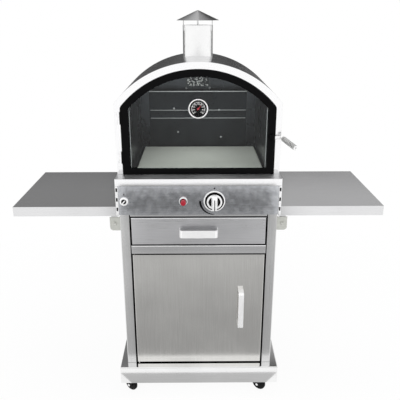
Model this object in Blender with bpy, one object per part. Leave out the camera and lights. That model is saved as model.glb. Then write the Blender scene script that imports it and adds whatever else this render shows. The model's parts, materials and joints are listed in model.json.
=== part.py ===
"""Gas pizza oven on a trolley: a stainless cabinet on casters with a drawer and a door, two folding side
shelves, a control console, and an arched oven with a glass door and a chimney. Metres, +Z up. The origin is
on the floor under the middle of the trolley, and the front faces -Y."""

import math

import bmesh
import bpy
from mathutils import Matrix, Vector

# Fits, sheet thicknesses and counts of faces
GAP = 0.0003
SHEET = 0.0015
THIN = 0.0012
REVEAL = 0.003
PIN_CLEAR = 0.0005
PIPE_CLEAR = 0.0015
WELD_DIST = 0.00001
OVERRUN = 0.004
LARGE_FACES = 36
ROUND_FACES = 24
SMALL_FACES = 12
HEX_FACES = 6
ARCH_STEPS = 18
BEND_STEPS = 3

# Plan of the whole trolley
BODY_HALF_W = 0.303
BODY_FRONT = -0.236
BODY_BACK = 0.285
CABINET_INSET_SIDE = 0.007
CABINET_INSET_FRONT = 0.032
CABINET_INSET_BACK = 0.020
OVEN_INSET_FRONT = 0.062

# Casters
WHEEL_R = 0.030
WHEEL_W = 0.022
WHEEL_CHAMFER = 0.004
HUB_R = 0.014
HUB_DISH = 0.003
AXLE_R = 0.004
TRAIL = 0.020
FORK_OVER_WHEEL = 0.015
FORK_T = 0.003
FORK_SIDE_CLEAR = 0.002
CROWN_HALF_L = 0.015
AXLE_BOSS_R = 0.010
AXLE_END = 0.001
KINGPIN_R = 0.005
KINGPIN_SHORT = 0.001
RACE_R = 0.018
RACE_H = 0.006
PLATE_SIDE = 0.056
PLATE_T = 0.003
PLATE_BOLT_INSET = 0.007
PLATE_BOLT_R = 0.004
PLATE_BOLT_H = 0.003
CASTER_INSET_X = 0.031
CASTER_INSET_Y = 0.037
FRONT_CASTER_TURN = math.radians(143.0)
REAR_CASTER_TURN = math.radians(217.0)

# Base tray with its two caster channels
TRAY_OVERHANG = 0.021
TRAY_T = 0.002
TRAY_SKIRT = 0.077
CHANNEL_H = 0.0567
CHANNEL_W = 0.064
CHANNEL_END = 0.012

# Cabinet
POST_W = 0.0365
POST_D = 0.030
RAIL_D = 0.020
DOOR_FOOT_GAP = 0.0055
DOOR_H = 0.490
MIDDLE_RAIL_H = 0.036
DRAWER_FRONT_H = 0.112
TOP_RAIL_H = 0.021
FRONT_PAN_D = 0.018
DOOR_PIN_R = 0.003
DOOR_PIN_INSET = 0.008
DOOR_PIN_BACK = 0.006
VENT_COUNT = 7
VENT_W = 0.008
VENT_H = 0.040
VENT_PITCH = 0.030
VENT_RISE = 0.050

# Drawer box, runners and bow handles
RUNNER_W = 0.0170
RUNNER_H = 0.030
DRAWER_BOX_H = 0.085
DRAWER_BOX_LIFT = 0.007
DRAWER_BOX_BACK_GAP = 0.062
SLIDE_RISE = 0.0245
SLIDE_BAR_INSET = 0.030
HANDLE_T = 0.003
HANDLE_BEND_R = 0.012
DRAWER_HANDLE_L = 0.145
DRAWER_HANDLE_W = 0.030
DRAWER_HANDLE_D = 0.032
DOOR_HANDLE_L = 0.161
DOOR_HANDLE_W = 0.021
DOOR_HANDLE_D = 0.035
DOOR_HANDLE_INSET = 0.0905
DOOR_HANDLE_DROP = 0.231

# Console
PANEL_H = 0.1115
BAND_H = 0.026
CHEEK_W = 0.010
CHEEK_DROP = 0.0045
SLOT_W = 0.006
SLOT_H = 0.014
SLOT_PITCH = 0.0375
SLOT_TOP_DROP = 0.0145
SLOT_COUNT = 3

# Controls
CONTROL_DROP = 0.058
KNOB_X = 0.058
KNOB_R = 0.031
KNOB_T = 0.012
KNOB_CHAMFER = 0.003
KNOB_LIFT = 0.002
GRIP_W = 0.012
GRIP_H = 0.035
GRIP_TAPER = 0.004
SHAFT_R = 0.004
SHAFT_REACH = 0.030
BEZEL_R = 0.0395
BEZEL_W = 0.005
BEZEL_H = 0.005
BEZEL_FLOOR = 0.001
VALVE_W = 0.028
VALVE_H = 0.036
VALVE_D = 0.044
VALVE_NECK = 0.006
VALVE_NECK_R = 0.010
IGNITER_X = -0.0557
IGNITER_R = 0.0102
IGNITER_CLEAR = 0.0006
IGNITER_PROUD = 0.026
IGNITER_DEPTH = 0.012
IGNITER_BODY_WALL = 0.0027
IGNITER_BODY_L = 0.050
IGNITER_COLLAR_W = 0.0047
IGNITER_COLLAR_H = 0.008
IGNITER_EDGE = 0.0015
LAMP_SWITCH_INSET = 0.0305
LAMP_SWITCH_R = 0.0085
LAMP_SWITCH_PROUD = 0.010
LAMP_SWITCH_DEPTH = 0.012
LAMP_SWITCH_BAR_W = 0.005
LAMP_SWITCH_BAR_H = 0.002
LAMP_COLLAR_W = 0.0069
LAMP_COLLAR_H = 0.006
LAMP_CUP_WALL = 0.0025
LAMP_CUP_D = 0.018

# Gas pipes and burner
PIPE_R = 0.005
PIPE_STEPS = 6
PIPE_RESOLUTION = 2
INLET_X = 0.160
INLET_BEND_R = 0.030
UNION_R = 0.011
UNION_L = 0.018
BURNER_R = 0.0125
BURNER_END_GAP = 0.0615
BURNER_LIFT = 0.0263
BURNER_BACK_GAP = 0.029
SADDLE_T = 0.006
SADDLE_INSET = 0.040

# Oven hood and surround
HOOD_INSET = 0.003
HOOD_SIDE_H = 0.262
HOOD_RISE = 0.143
HOOD_BEND_R = 0.003
SURROUND_SIDE_W = 0.0205
SURROUND_TOP_W = 0.0248
SURROUND_D = 0.024
DOOR_CLEAR = 0.0018

# Oven door, glass and hinges
OVEN_DOOR_PROUD = 0.004
OVEN_DOOR_D = 0.020
OVEN_DOOR_SILL = 0.0013
OVEN_DOOR_BEND_R = 0.020
STILE_W = 0.0277
HEAD_W = 0.0241
SILL_W = 0.0227
FRAME_T = 0.006
FRAME_EDGE = 0.004
WINDOW_BEND_R = 0.010
GLASS_T = 0.004
GLASS_CLEAR = 0.0015
HINGE_H = 0.045
HINGE_RISE_SHARES = (0.246, 0.80)
BARREL_R = 0.004
HINGE_PIN_R = 0.0015
HINGE_LEAF_T = 0.0015
HINGE_AXIS_INSET = 0.0155
HINGE_AXIS_PROUD = 0.001
FIXED_LEAF_INSET = 0.0015
DOOR_LEAF_W = 0.0125

# Dial gauge on the glass
GAUGE_R = 0.0355
GAUGE_H = 0.014
GAUGE_RIM = 0.005
GAUGE_DISH = 0.004
GAUGE_EDGE = 0.002
GAUGE_STEM_R = 0.004
GAUGE_STEM_L = 0.045
GAUGE_DROP = 0.1347
NEEDLE_R = 0.023
NEEDLE_TAIL = 0.007
NEEDLE_W = 0.0028
NEEDLE_TIP_SHARE = 0.3
NEEDLE_T = 0.0009
NEEDLE_HUB_R = 0.003
NEEDLE_PIN_R = 0.0009
NEEDLE_PIN_BORE = 0.003
NEEDLE_REST = math.radians(40.0)

# Latch lever with its coil grip, and the keeper
LATCH_INSET = 0.0117
LATCH_DROP = 0.2374
LATCH_BOSS_R = 0.011
LATCH_BOSS_H = 0.0117
LATCH_PIN_R = 0.004
LATCH_PIN_L = 0.0035
LATCH_ARM_L = 0.033
LATCH_ARM_H = 0.010
LATCH_ARM_T = 0.004
LATCH_ROD_R = 0.003
LATCH_BEND = (0.0350, 0.032, 0.0013)
LATCH_TIP = (0.0685, 0.103, -0.0165)
COIL_R = 0.00775
COIL_WIRE_R = 0.00175
COIL_COLLAR_R = 0.0085
COIL_COLLAR_T = 0.0015
COIL_TURNS = 14
COIL_POINTS = 9
KEEPER_W = 0.016
KEEPER_INSET = 0.0015
KEEPER_H = 0.022
KEEPER_T = 0.002
KEEPER_REACH = 0.017
KEEPER_CLEAR = 0.0005

# Inside the oven
LINER_SIDE_GAP = 0.0485
LINER_TOP_GAP = 0.0462
LINER_BEND_R = 0.010
LINER_BACK_GAP = 0.022
DOOR_SEAL_GAP = 0.0005
HEARTH_T = 0.003
HEARTH_SIDE_GAP = 0.0073
STONE_INSET = 0.0085
STONE_T = 0.0127
STONE_CHAMFER = 0.002
STONE_FRONT_GAP = 0.0075
STONE_SHIFT = 0.006
HEARTH_LIP = 0.003
HEARTH_TAIL = 0.008
BAFFLE_SIDE_GAP = 0.0445
BAFFLE_H = 0.251
BAFFLE_GAP = 0.018
BAFFLE_BURNER_GAP = 0.0328
BAFFLE_FOLD = 0.015
BEAD_RISE_SHARES = (0.545, 0.68)
BEAD_H = 0.010
BEAD_D = 0.003
SCREW_R = 0.004
SCREW_H = 0.002
SCREW_INSET = 0.015
LAMP_HALF_W = 0.054
LAMP_H = 0.075
LAMP_D = 0.021
LAMP_TOP_GAP = 0.0296
LAMP_GLASS_INSET = 0.009
LAMP_GLASS_H = 0.043
LAMP_GLASS_T = 0.0077
LAMP_SCREW_INSET = 0.004
LAMP_SCREW_RISE = 0.0075
LAMP_SCREW_R = 0.0025
LAMP_GLASS_BEVEL = 0.002

# Chimney and cap
CHIMNEY_R = 0.059
CHIMNEY_TOP_RISE = 0.114
CHIMNEY_BACK = 0.301
FLUE_INSET = 0.009
CAP_OVERHANG = 0.024
CAP_H = 0.037
CAP_LIFT = 0.0175
STRUT_W = 0.006
STRUT_T = 0.0015
STRUT_LAP = 0.020
STRUT_ANGLES = tuple(math.radians(a) for a in (68.0, -68.0, 180.0))

# Side shelves and their hinge lugs
SHELF_W = 0.378
SHELF_D = 0.447
SHELF_LIP = 0.0365
SHELF_DROP = 0.105
SHELF_PIVOT_OUT = 0.014
SHELF_PIVOT_DROP = 0.081
ARM_T = 0.002
ARM_HALF_W = 0.012
BOLT_R = 0.004
BOLT_HEAD_R = 0.0075
BOLT_HEAD_H = 0.004
LUG_W = 0.0387
LUG_H = 0.054
LUG_T = 0.002
LUG_FLANGE = 0.035
LUG_CORNER_R = 0.012
LUG_FRONT_INSET = 0.036
LUG_ABOVE_PIVOT = 0.026

# Heights from the floor up
AXLE_Z = WHEEL_R
CROWN_TOP = 2 * WHEEL_R + FORK_OVER_WHEEL + FORK_T
RACE_BOTTOM = CROWN_TOP + GAP
PLATE_BOTTOM = RACE_BOTTOM + RACE_H
PLATE_TOP = PLATE_BOTTOM + PLATE_T
CHANNEL_BOTTOM = PLATE_TOP
TRAY_TOP = CHANNEL_BOTTOM + CHANNEL_H + TRAY_T
DOOR_BOTTOM = TRAY_TOP + DOOR_FOOT_GAP
DOOR_TOP = DOOR_BOTTOM + DOOR_H
MIDDLE_RAIL_BOTTOM = DOOR_TOP + REVEAL
MIDDLE_RAIL_TOP = MIDDLE_RAIL_BOTTOM + MIDDLE_RAIL_H
DRAWER_BOTTOM = MIDDLE_RAIL_TOP + REVEAL
DRAWER_TOP = DRAWER_BOTTOM + DRAWER_FRONT_H
DRAWER_SLIDE_Z = DRAWER_BOTTOM + DRAWER_BOX_LIFT + SLIDE_RISE
TOP_RAIL_BOTTOM = DRAWER_TOP + REVEAL
PANEL_BOTTOM = TOP_RAIL_BOTTOM + TOP_RAIL_H
PANEL_TOP = PANEL_BOTTOM + PANEL_H
CONSOLE_TOP = PANEL_TOP + BAND_H
FRAME_TOP = CONSOLE_TOP - SHEET - GAP
CONTROL_Z = PANEL_TOP - CONTROL_DROP
OVEN_BASE = CONSOLE_TOP + GAP
HOOD_TOP = CONSOLE_TOP + HOOD_SIDE_H + HOOD_RISE
HOOD_HALF_W = BODY_HALF_W - HOOD_INSET
HOOD_R = (HOOD_HALF_W**2 + HOOD_RISE**2) / (2 * HOOD_RISE)
ARCH_Z = HOOD_TOP - HOOD_R

# Faces from the front back, and half widths
CABINET_FRONT = BODY_FRONT + CABINET_INSET_FRONT
CABINET_BACK = BODY_BACK - CABINET_INSET_BACK
CABINET_HALF_W = BODY_HALF_W - CABINET_INSET_SIDE
CASTER_X = BODY_HALF_W - CASTER_INSET_X
SHELF_PIVOT_X = BODY_HALF_W + SHELF_PIVOT_OUT
LAMP_SWITCH_X = -(BODY_HALF_W - LAMP_SWITCH_INSET)
OPENING_HALF_W = CABINET_HALF_W - POST_W
FRONT_HALF_W = OPENING_HALF_W - REVEAL
DRAWER_BOX_HALF_W = OPENING_HALF_W - GAP - RUNNER_W
PANEL_FRONT = BODY_FRONT
PANEL_BACK = BODY_FRONT + SHEET
OVEN_FRONT = BODY_FRONT + OVEN_INSET_FRONT
OVEN_DOOR_FRONT = OVEN_FRONT - OVEN_DOOR_PROUD
OVEN_DOOR_BACK = OVEN_DOOR_FRONT + OVEN_DOOR_D
OVEN_DOOR_HALF_W = HOOD_HALF_W - SURROUND_SIDE_W - DOOR_CLEAR
OVEN_DOOR_R = HOOD_R - SURROUND_TOP_W - DOOR_CLEAR
OVEN_DOOR_BOTTOM = CONSOLE_TOP + OVEN_DOOR_SILL
WINDOW_HALF_W = OVEN_DOOR_HALF_W - STILE_W
WINDOW_R = OVEN_DOOR_R - HEAD_W
GLASS_FRONT = OVEN_DOOR_FRONT + FRAME_T + GAP
GAUGE_Z = HOOD_TOP - SURROUND_TOP_W - DOOR_CLEAR - GAUGE_DROP
LATCH_X = OVEN_DOOR_HALF_W - LATCH_INSET
LATCH_Z = HOOD_TOP - SURROUND_TOP_W - DOOR_CLEAR - LATCH_DROP
CHIMNEY_Y = OVEN_FRONT + CHIMNEY_BACK
FLUE_R = CHIMNEY_R - FLUE_INSET
CAP_R = CHIMNEY_R + CAP_OVERHANG
LINER_HALF_W = HOOD_HALF_W - LINER_SIDE_GAP
HEARTH_HALF_W = LINER_HALF_W - THIN - HEARTH_SIDE_GAP
STONE_HALF_W = HEARTH_HALF_W - STONE_INSET
BAFFLE_HALF_W = LINER_HALF_W - BAFFLE_SIDE_GAP
BURNER_HALF_L = LINER_HALF_W - BURNER_END_GAP
SADDLE_X = BURNER_HALF_L - SADDLE_INSET
LINER_FRONT = OVEN_DOOR_BACK + DOOR_SEAL_GAP
LINER_BACK = BODY_BACK - LINER_BACK_GAP
LINER_R = HOOD_R - LINER_TOP_GAP
LINER_BASE = OVEN_BASE + GAP
LINER_FLOOR = LINER_BASE + THIN
BURNER_Y = LINER_BACK - THIN - BURNER_BACK_GAP
BAFFLE_Y = BURNER_Y - BAFFLE_BURNER_GAP
STONE_FRONT = LINER_FRONT + STONE_FRONT_GAP
STONE_BACK = BAFFLE_Y - BAFFLE_GAP
BURNER_Z = LINER_FLOOR + BURNER_LIFT

MATERIALS = {}


def material(name, colour, roughness, metallic=0.0, alpha=1.0):
    """One Principled BSDF material, made once and shared by name."""
    if name not in MATERIALS:
        made = bpy.data.materials.new(name)
        made.use_nodes = True
        shader = made.node_tree.nodes["Principled BSDF"]
        shader.inputs["Base Color"].default_value = (*colour, 1.0)
        shader.inputs["Roughness"].default_value = roughness
        shader.inputs["Metallic"].default_value = metallic
        shader.inputs["Alpha"].default_value = alpha
        made.diffuse_color = (*colour, alpha)
        MATERIALS[name] = made
    return MATERIALS[name]


def brushed():
    return material("brushed stainless", (0.55, 0.55, 0.54), 0.35, 1.0)


def bright():
    return material("bright stainless", (0.75, 0.75, 0.75), 0.18, 1.0)


def oven_steel():
    return material("oven interior steel", (0.12, 0.13, 0.13), 0.45, 1.0)


def enamel():
    return material("black enamel", (0.012, 0.012, 0.014), 0.30)


def black_nylon():
    return material("black nylon", (0.02, 0.02, 0.02), 0.55)


def clear_glass():
    return material("oven glass", (0.05, 0.06, 0.06), 0.05, 0.0, 0.35)


def brass():
    return material("brass", (0.55, 0.40, 0.16), 0.35, 1.0)


def new_object(name, mesh, finish=None):
    made = bpy.data.objects.new(name, mesh)
    bpy.context.scene.collection.objects.link(made)
    if finish is not None:
        mesh.materials.append(finish)
    return made


def loft(name, loops, finish=None, cyclic=False):
    """A closed solid through loops of 3-D points with equal counts: capped ends, or a ring when cyclic."""
    shape = bmesh.new()
    rows = [[shape.verts.new(p) for p in loop] for loop in loops]
    count = len(rows[0])
    pairs = list(zip(rows, rows[1:] + rows[:1])) if cyclic else list(zip(rows, rows[1:]))
    for row, following in pairs:
        for i in range(count):
            j = (i + 1) % count
            shape.faces.new((row[i], row[j], following[j], following[i]))
    if not cyclic:
        shape.faces.new(rows[0])
        shape.faces.new(rows[-1])
    bmesh.ops.recalc_face_normals(shape, faces=shape.faces)
    mesh = bpy.data.meshes.new(name)
    shape.to_mesh(mesh)
    shape.free()
    return new_object(name, mesh, finish)


def rectangle(x0, x1, y0, y1, z):
    return [(x0, y0, z), (x1, y0, z), (x1, y1, z), (x0, y1, z)]


def block(name, x0, x1, y0, y1, z0, z1, finish=None):
    return loft(name, [rectangle(x0, x1, y0, y1, z0), rectangle(x0, x1, y0, y1, z1)], finish)


def along_x(name, outline, x0, x1, finish=None):
    """Extrudes an outline of (y, z) points along X."""
    return loft(name, [[(x, y, z) for y, z in outline] for x in (x0, x1)], finish)


def along_y(name, outline, y0, y1, finish=None):
    """Extrudes an outline of (x, z) points along Y."""
    return loft(name, [[(x, y, z) for x, z in outline] for y in (y0, y1)], finish)


def along_z(name, outline, z0, z1, finish=None):
    """Extrudes an outline of (x, y) points along Z."""
    return loft(name, [[(x, y, z) for x, y in outline] for z in (z0, z1)], finish)


def turned(name, profile, centre, direction, finish=None, faces=ROUND_FACES):
    """Turns a closed profile of (radius, height) points about a line; radius 0 lies on the line."""
    shape = bmesh.new()
    rows = []
    for radius, height in profile:
        if radius == 0:
            rows.append([shape.verts.new((0, 0, height))])
            continue
        turns = [math.tau * i / faces for i in range(faces)]
        rows.append([shape.verts.new((radius * math.cos(a), radius * math.sin(a), height)) for a in turns])
    for row, following in zip(rows, rows[1:] + rows[:1]):
        for i in range(faces):
            j = (i + 1) % faces
            corners = [row[i % len(row)], row[j % len(row)], following[j % len(following)]]
            corners.append(following[i % len(following)])
            corners = list(dict.fromkeys(corners))
            if len(corners) > 2:
                shape.faces.new(corners)
    bmesh.ops.recalc_face_normals(shape, faces=shape.faces)
    mesh = bpy.data.meshes.new(name)
    shape.to_mesh(mesh)
    shape.free()
    aim = Vector((0, 0, 1)).rotation_difference(Vector(direction)).to_matrix().to_4x4()
    mesh.transform(Matrix.Translation(centre) @ aim)
    return new_object(name, mesh, finish)


def rod(name, start, end, radius, finish=None, faces=SMALL_FACES):
    line = Vector(end) - Vector(start)
    profile = [(0, 0), (radius, 0), (radius, line.length), (0, line.length)]
    return turned(name, profile, start, line, finish, faces)


def applied(piece):
    """Bakes the modifiers of a piece into its mesh."""
    graph = bpy.context.evaluated_depsgraph_get()
    mesh = bpy.data.meshes.new_from_object(piece.evaluated_get(graph))
    piece.modifiers.clear()
    piece.data = mesh
    return piece


def boolean(piece, tool, operation):
    step = piece.modifiers.new("boolean", "BOOLEAN")
    step.operation = operation
    step.solver = "EXACT"
    step.object = tool
    applied(piece)
    bpy.data.objects.remove(tool)
    return piece


def cut(piece, *tools):
    for tool in tools:
        boolean(piece, tool, "DIFFERENCE")
    return piece


def weld(piece, *others):
    for other in others:
        boolean(piece, other, "UNION")
    return piece


def grouped(name, pieces, finish):
    """Puts separate solids into one object."""
    shape = bmesh.new()
    for piece in pieces:
        shape.from_mesh(piece.data)
        bpy.data.objects.remove(piece)
    mesh = bpy.data.meshes.new(name)
    shape.to_mesh(mesh)
    shape.free()
    return new_object(name, mesh, finish)


def smooth(piece):
    """Shades round faces smooth and keeps edges over 35 degrees sharp."""
    piece.data.shade_smooth()
    piece.data.set_sharp_from_angle(angle=math.radians(35.0))
    return piece


def axis_at(name, place, parent=None):
    """An empty on a joint's axis, which its moving pieces hang from."""
    empty = bpy.data.objects.new(name, None)
    bpy.context.scene.collection.objects.link(empty)
    offset = Vector(place)
    if parent is not None:
        empty.parent = parent
        offset = offset - parent_place(parent)
    empty.location = offset
    return empty


def parent_place(empty):
    place = Vector(empty.location)
    return place + parent_place(empty.parent) if empty.parent else place


def hang(empty, *pieces):
    for piece in pieces:
        piece.data.transform(Matrix.Translation(-parent_place(empty)))
        piece.parent = empty


def mirrored(outline, side):
    """Mirrors an outline's x where side is -1, keeping its order."""
    return [(side * x, z) for x, z in outline]


def arch(half_w, radius, bottom, bend_r):
    """The oven's outline from foot to foot: two straight sides, bent corners and one arc about ARCH_Z."""
    bend_z = ARCH_Z + math.sqrt((radius - bend_r) ** 2 - (half_w - bend_r) ** 2)
    tangent = math.atan2(bend_z - ARCH_Z, half_w - bend_r)
    right = [(half_w, bottom)]
    for i in range(BEND_STEPS):
        a = tangent * i / BEND_STEPS
        right.append((half_w - bend_r + bend_r * math.cos(a), bend_z + bend_r * math.sin(a)))
    top = []
    for i in range(ARCH_STEPS + 1):
        a = tangent + (math.pi - 2 * tangent) * i / ARCH_STEPS
        top.append((radius * math.cos(a), ARCH_Z + radius * math.sin(a)))
    return right + top + [(-x, z) for x, z in reversed(right)]


def at_y(outline, y):
    return [(x, y, z) for x, z in outline]


def bow(length, depth):
    """Outline of a strip bent into a bow handle: u along its length, v out from the panel it stands on."""
    points = []
    for reach, radius in ((0.0, HANDLE_BEND_R), (HANDLE_T, HANDLE_BEND_R - HANDLE_T)):
        half = length / 2 - reach
        top = depth - reach
        side = [(half, GAP)]
        for i in range(BEND_STEPS + 1):
            a = math.pi / 2 * i / BEND_STEPS
            side.append((half - radius + radius * math.cos(a), top - radius + radius * math.sin(a)))
        path = side + [(-u, v) for u, v in reversed(side)]
        points += path if reach == 0.0 else list(reversed(path))
    return points


def pan_x(name, half_w, y0, y1, z0, z1, wall, finish):
    """A front pressed as a pan with its open side at the back."""
    def ring(inset, y):
        return [(x, y, z) for x, z in ((-half_w + inset, z0 + inset), (half_w - inset, z0 + inset),
                                       (half_w - inset, z1 - inset), (-half_w + inset, z1 - inset))]
    return loft(name, [ring(0, y0), ring(0, y1), ring(wall, y1), ring(wall, y0 + wall)], finish)


def pan_down(name, x0, x1, y0, y1, z0, z1, wall, top, finish):
    """A pan with its open side down."""
    inner = (x0 + wall, x1 - wall, y0 + wall, y1 - wall)
    loops = [rectangle(x0, x1, y0, y1, z1), rectangle(x0, x1, y0, y1, z0)]
    loops += [rectangle(*inner, z0), rectangle(*inner, z1 - top)]
    return loft(name, loops, finish)


def channel_outline(u0, u1, v0, v1, wall):
    """A U channel's section with its open side towards +v."""
    return [(u0, v0), (u1, v0), (u1, v1), (u1 - wall, v1), (u1 - wall, v0 + wall),
            (u0 + wall, v0 + wall), (u0 + wall, v1), (u0, v1)]


def make_base_tray():
    """The tray is an inverted pan, with two channels under it that carry the four caster plates."""
    half = BODY_HALF_W + TRAY_OVERHANG
    skirt_z = TRAY_TOP - TRAY_SKIRT
    under = TRAY_TOP - TRAY_T
    plan = (-half, half, BODY_FRONT, BODY_BACK)
    tray = pan_down("base_tray", *plan, skirt_z, TRAY_TOP, TRAY_T, TRAY_T, brushed())
    reach = half - TRAY_T - CHANNEL_END
    for y in (BODY_FRONT + CASTER_INSET_Y, BODY_BACK - CASTER_INSET_Y):
        y0, y1 = y - CHANNEL_W / 2, y + CHANNEL_W / 2
        outline = channel_outline(y0, y1, CHANNEL_BOTTOM, under + TRAY_T / 2, TRAY_T)
        weld(tray, along_x("channel", outline, -reach, reach))
        for x in (-CASTER_X, CASTER_X):
            add_caster_plate(tray, x, y)
    pin_x = -(FRONT_HALF_W - DOOR_PIN_INSET)
    pin_y = CABINET_FRONT + DOOR_PIN_BACK
    ends = ((pin_x, pin_y, under - OVERRUN), (pin_x, pin_y, TRAY_TOP + OVERRUN))
    smooth(cut(tray, rod("hole", *ends, DOOR_PIN_R + PIN_CLEAR)))


def add_caster_plate(tray, x, y):
    """A plate with four bolt heads and the race that the fork's crown turns under, bored for its kingpin."""
    half = PLATE_SIDE / 2
    inside = PLATE_TOP + TRAY_T / 2
    weld(tray, block("plate", x - half, x + half, y - half, y + half, PLATE_BOTTOM, inside))
    race = ((x, y, RACE_BOTTOM), (x, y, PLATE_BOTTOM + PLATE_T / 2))
    weld(tray, rod("race", *race, RACE_R, None, ROUND_FACES))
    bolt = half - PLATE_BOLT_INSET
    for dx in (-bolt, bolt):
        for dy in (-bolt, bolt):
            head = (x + dx, y + dy, PLATE_BOTTOM - PLATE_BOLT_H)
            top = (x + dx, y + dy, PLATE_BOTTOM + PLATE_T / 2)
            weld(tray, rod("bolt", head, top, PLATE_BOLT_R, None, HEX_FACES))
    bore = ((x, y, RACE_BOTTOM - OVERRUN), (x, y, PLATE_TOP + OVERRUN))
    cut(tray, rod("bore", *bore, KINGPIN_R + PIN_CLEAR))


def make_casters():
    """Four forks swivel on their kingpins, each with its wheel trailing on an axle."""
    rows = (("front", BODY_FRONT + CASTER_INSET_Y, FRONT_CASTER_TURN),
            ("rear", BODY_BACK - CASTER_INSET_Y, REAR_CASTER_TURN))
    for row, y, turn in rows:
        for side, x in (("left", -CASTER_X), ("right", CASTER_X)):
            swivel = axis_at(f"caster_swivel_{row}_{side}", (x, y, RACE_BOTTOM))
            fork = make_fork(f"caster_fork_{row}_{side}")
            wheel = make_wheel(f"caster_wheel_{row}_{side}")
            spin = Matrix.Translation((x, y, 0)) @ Matrix.Rotation(turn, 4, "Z")
            fork.data.transform(spin)
            wheel.data.transform(spin)
            hang(swivel, fork)
            axle = axis_at(f"caster_axle_{row}_{side}", spin @ Vector((TRAIL, 0, AXLE_Z)), swivel)
            hang(axle, wheel)


def make_fork(name):
    """The crown turns under the race on its kingpin, and two cheeks carry the axle behind it."""
    inner = WHEEL_W / 2 + FORK_SIDE_CLEAR
    outer = inner + FORK_T
    crown_z = CROWN_TOP - FORK_T
    fork = block(name, -CROWN_HALF_L, CROWN_HALF_L, -outer, outer, crown_z, CROWN_TOP, bright())
    cheek = [(-CROWN_HALF_L, CROWN_TOP - FORK_T / 2), (CROWN_HALF_L, CROWN_TOP - FORK_T / 2)]
    for i in range(SMALL_FACES // 2 + 1):
        a = math.pi / 6 - math.pi * i / (SMALL_FACES // 2)
        cheek.append((TRAIL + AXLE_BOSS_R * math.cos(a), AXLE_Z + AXLE_BOSS_R * math.sin(a)))
    for side in (-1, 1):
        y0, y1 = sorted((side * inner, side * outer))
        weld(fork, along_y("cheek", cheek, y0, y1))
    weld(fork, rod("axle", (TRAIL, -outer - AXLE_END, AXLE_Z), (TRAIL, outer + AXLE_END, AXLE_Z), AXLE_R))
    weld(fork, rod("kingpin", (0, 0, crown_z), (0, 0, PLATE_TOP - KINGPIN_SHORT), KINGPIN_R))
    return smooth(fork)


def make_wheel(name):
    """A solid wheel, with a hub inside a shallow dish and a rounded tread."""
    half = WHEEL_W / 2
    bore = AXLE_R + PIN_CLEAR
    rim = WHEEL_R - WHEEL_CHAMFER
    side = [(bore, half), (HUB_R, half), (HUB_R, half - HUB_DISH), (rim, half - HUB_DISH)]
    side += [(WHEEL_R, half - HUB_DISH - WHEEL_CHAMFER)]
    profile = side + [(r, -h) for r, h in reversed(side)]
    return smooth(turned(name, profile, (TRAIL, 0, AXLE_Z), (0, 1, 0), black_nylon()))


def make_cabinet():
    make_posts()
    make_cabinet_sheets()
    make_rails()
    make_runners()


def make_posts():
    """Front posts are channels that open to the back."""
    for side, name in ((-1, "front_post_left"), (1, "front_post_right")):
        back = CABINET_FRONT + POST_D
        outline = channel_outline(OPENING_HALF_W, CABINET_HALF_W, CABINET_FRONT, back, SHEET)
        along_z(name, mirrored(outline, side), TRAY_TOP + GAP, FRAME_TOP, brushed())


def make_cabinet_sheets():
    """Side sheets start behind the posts. The back sheet has the gas inlet hole and two rows of vents."""
    start = CABINET_FRONT + POST_D + GAP
    for side, name in ((-1, "cabinet_side_left"), (1, "cabinet_side_right")):
        x0, x1 = sorted((side * CABINET_HALF_W, side * (CABINET_HALF_W - SHEET)))
        block(name, x0, x1, start, CABINET_BACK, TRAY_TOP + GAP, FRAME_TOP, brushed())
    half = CABINET_HALF_W - SHEET - GAP
    y0 = CABINET_BACK - SHEET
    back = block("cabinet_back", -half, half, y0, CABINET_BACK, TRAY_TOP + GAP, FRAME_TOP, brushed())
    through = (y0 - OVERRUN, CABINET_BACK + OVERRUN)
    inlet = PIPE_R + PIPE_CLEAR
    hole = rod("hole", (INLET_X, through[0], CONTROL_Z), (INLET_X, through[1], CONTROL_Z), inlet)
    cut(back, hole)
    vents = []
    for z in (TRAY_TOP + VENT_RISE, DOOR_TOP - VENT_RISE - VENT_H):
        for i in range(VENT_COUNT):
            x = (i - (VENT_COUNT - 1) / 2) * VENT_PITCH
            vents.append(block("vent", x - VENT_W / 2, x + VENT_W / 2, *through, z, z + VENT_H))
    cut(back, grouped("vents", vents, None))


def make_rails():
    """Two rails between the posts open to the back, and the lower one holds the door's upper pin."""
    for name, z0, z1 in (("middle_rail", MIDDLE_RAIL_BOTTOM, MIDDLE_RAIL_TOP),
                         ("top_rail", TOP_RAIL_BOTTOM, PANEL_BOTTOM - GAP)):
        section = channel_outline(z0, z1, CABINET_FRONT, CABINET_FRONT + RAIL_D, SHEET)
        outline = [(y, z) for z, y in section]
        rail = along_x(name, outline, -OPENING_HALF_W + GAP, OPENING_HALF_W - GAP, brushed())
        if name == "middle_rail":
            x = -(FRONT_HALF_W - DOOR_PIN_INSET)
            y = CABINET_FRONT + DOOR_PIN_BACK
            cut(rail, rod("hole", (x, y, z0 - OVERRUN), (x, y, z0 + OVERRUN), DOOR_PIN_R + PIN_CLEAR))


def make_runners():
    """Channels from the posts to the back sheet, open to the drawer box, which has a slide bar in each."""
    z0 = DRAWER_SLIDE_Z - RUNNER_H / 2
    z1 = DRAWER_SLIDE_Z + RUNNER_H / 2
    for side, name in ((-1, "drawer_runner_left"), (1, "drawer_runner_right")):
        section = channel_outline(z0, z1, -(OPENING_HALF_W - GAP), -DRAWER_BOX_HALF_W - GAP, SHEET)
        outline = [(-side * x, z) for z, x in section]
        along_y(name, outline, CABINET_FRONT + FRONT_PAN_D, CABINET_BACK - SHEET - GAP, brushed())


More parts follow.
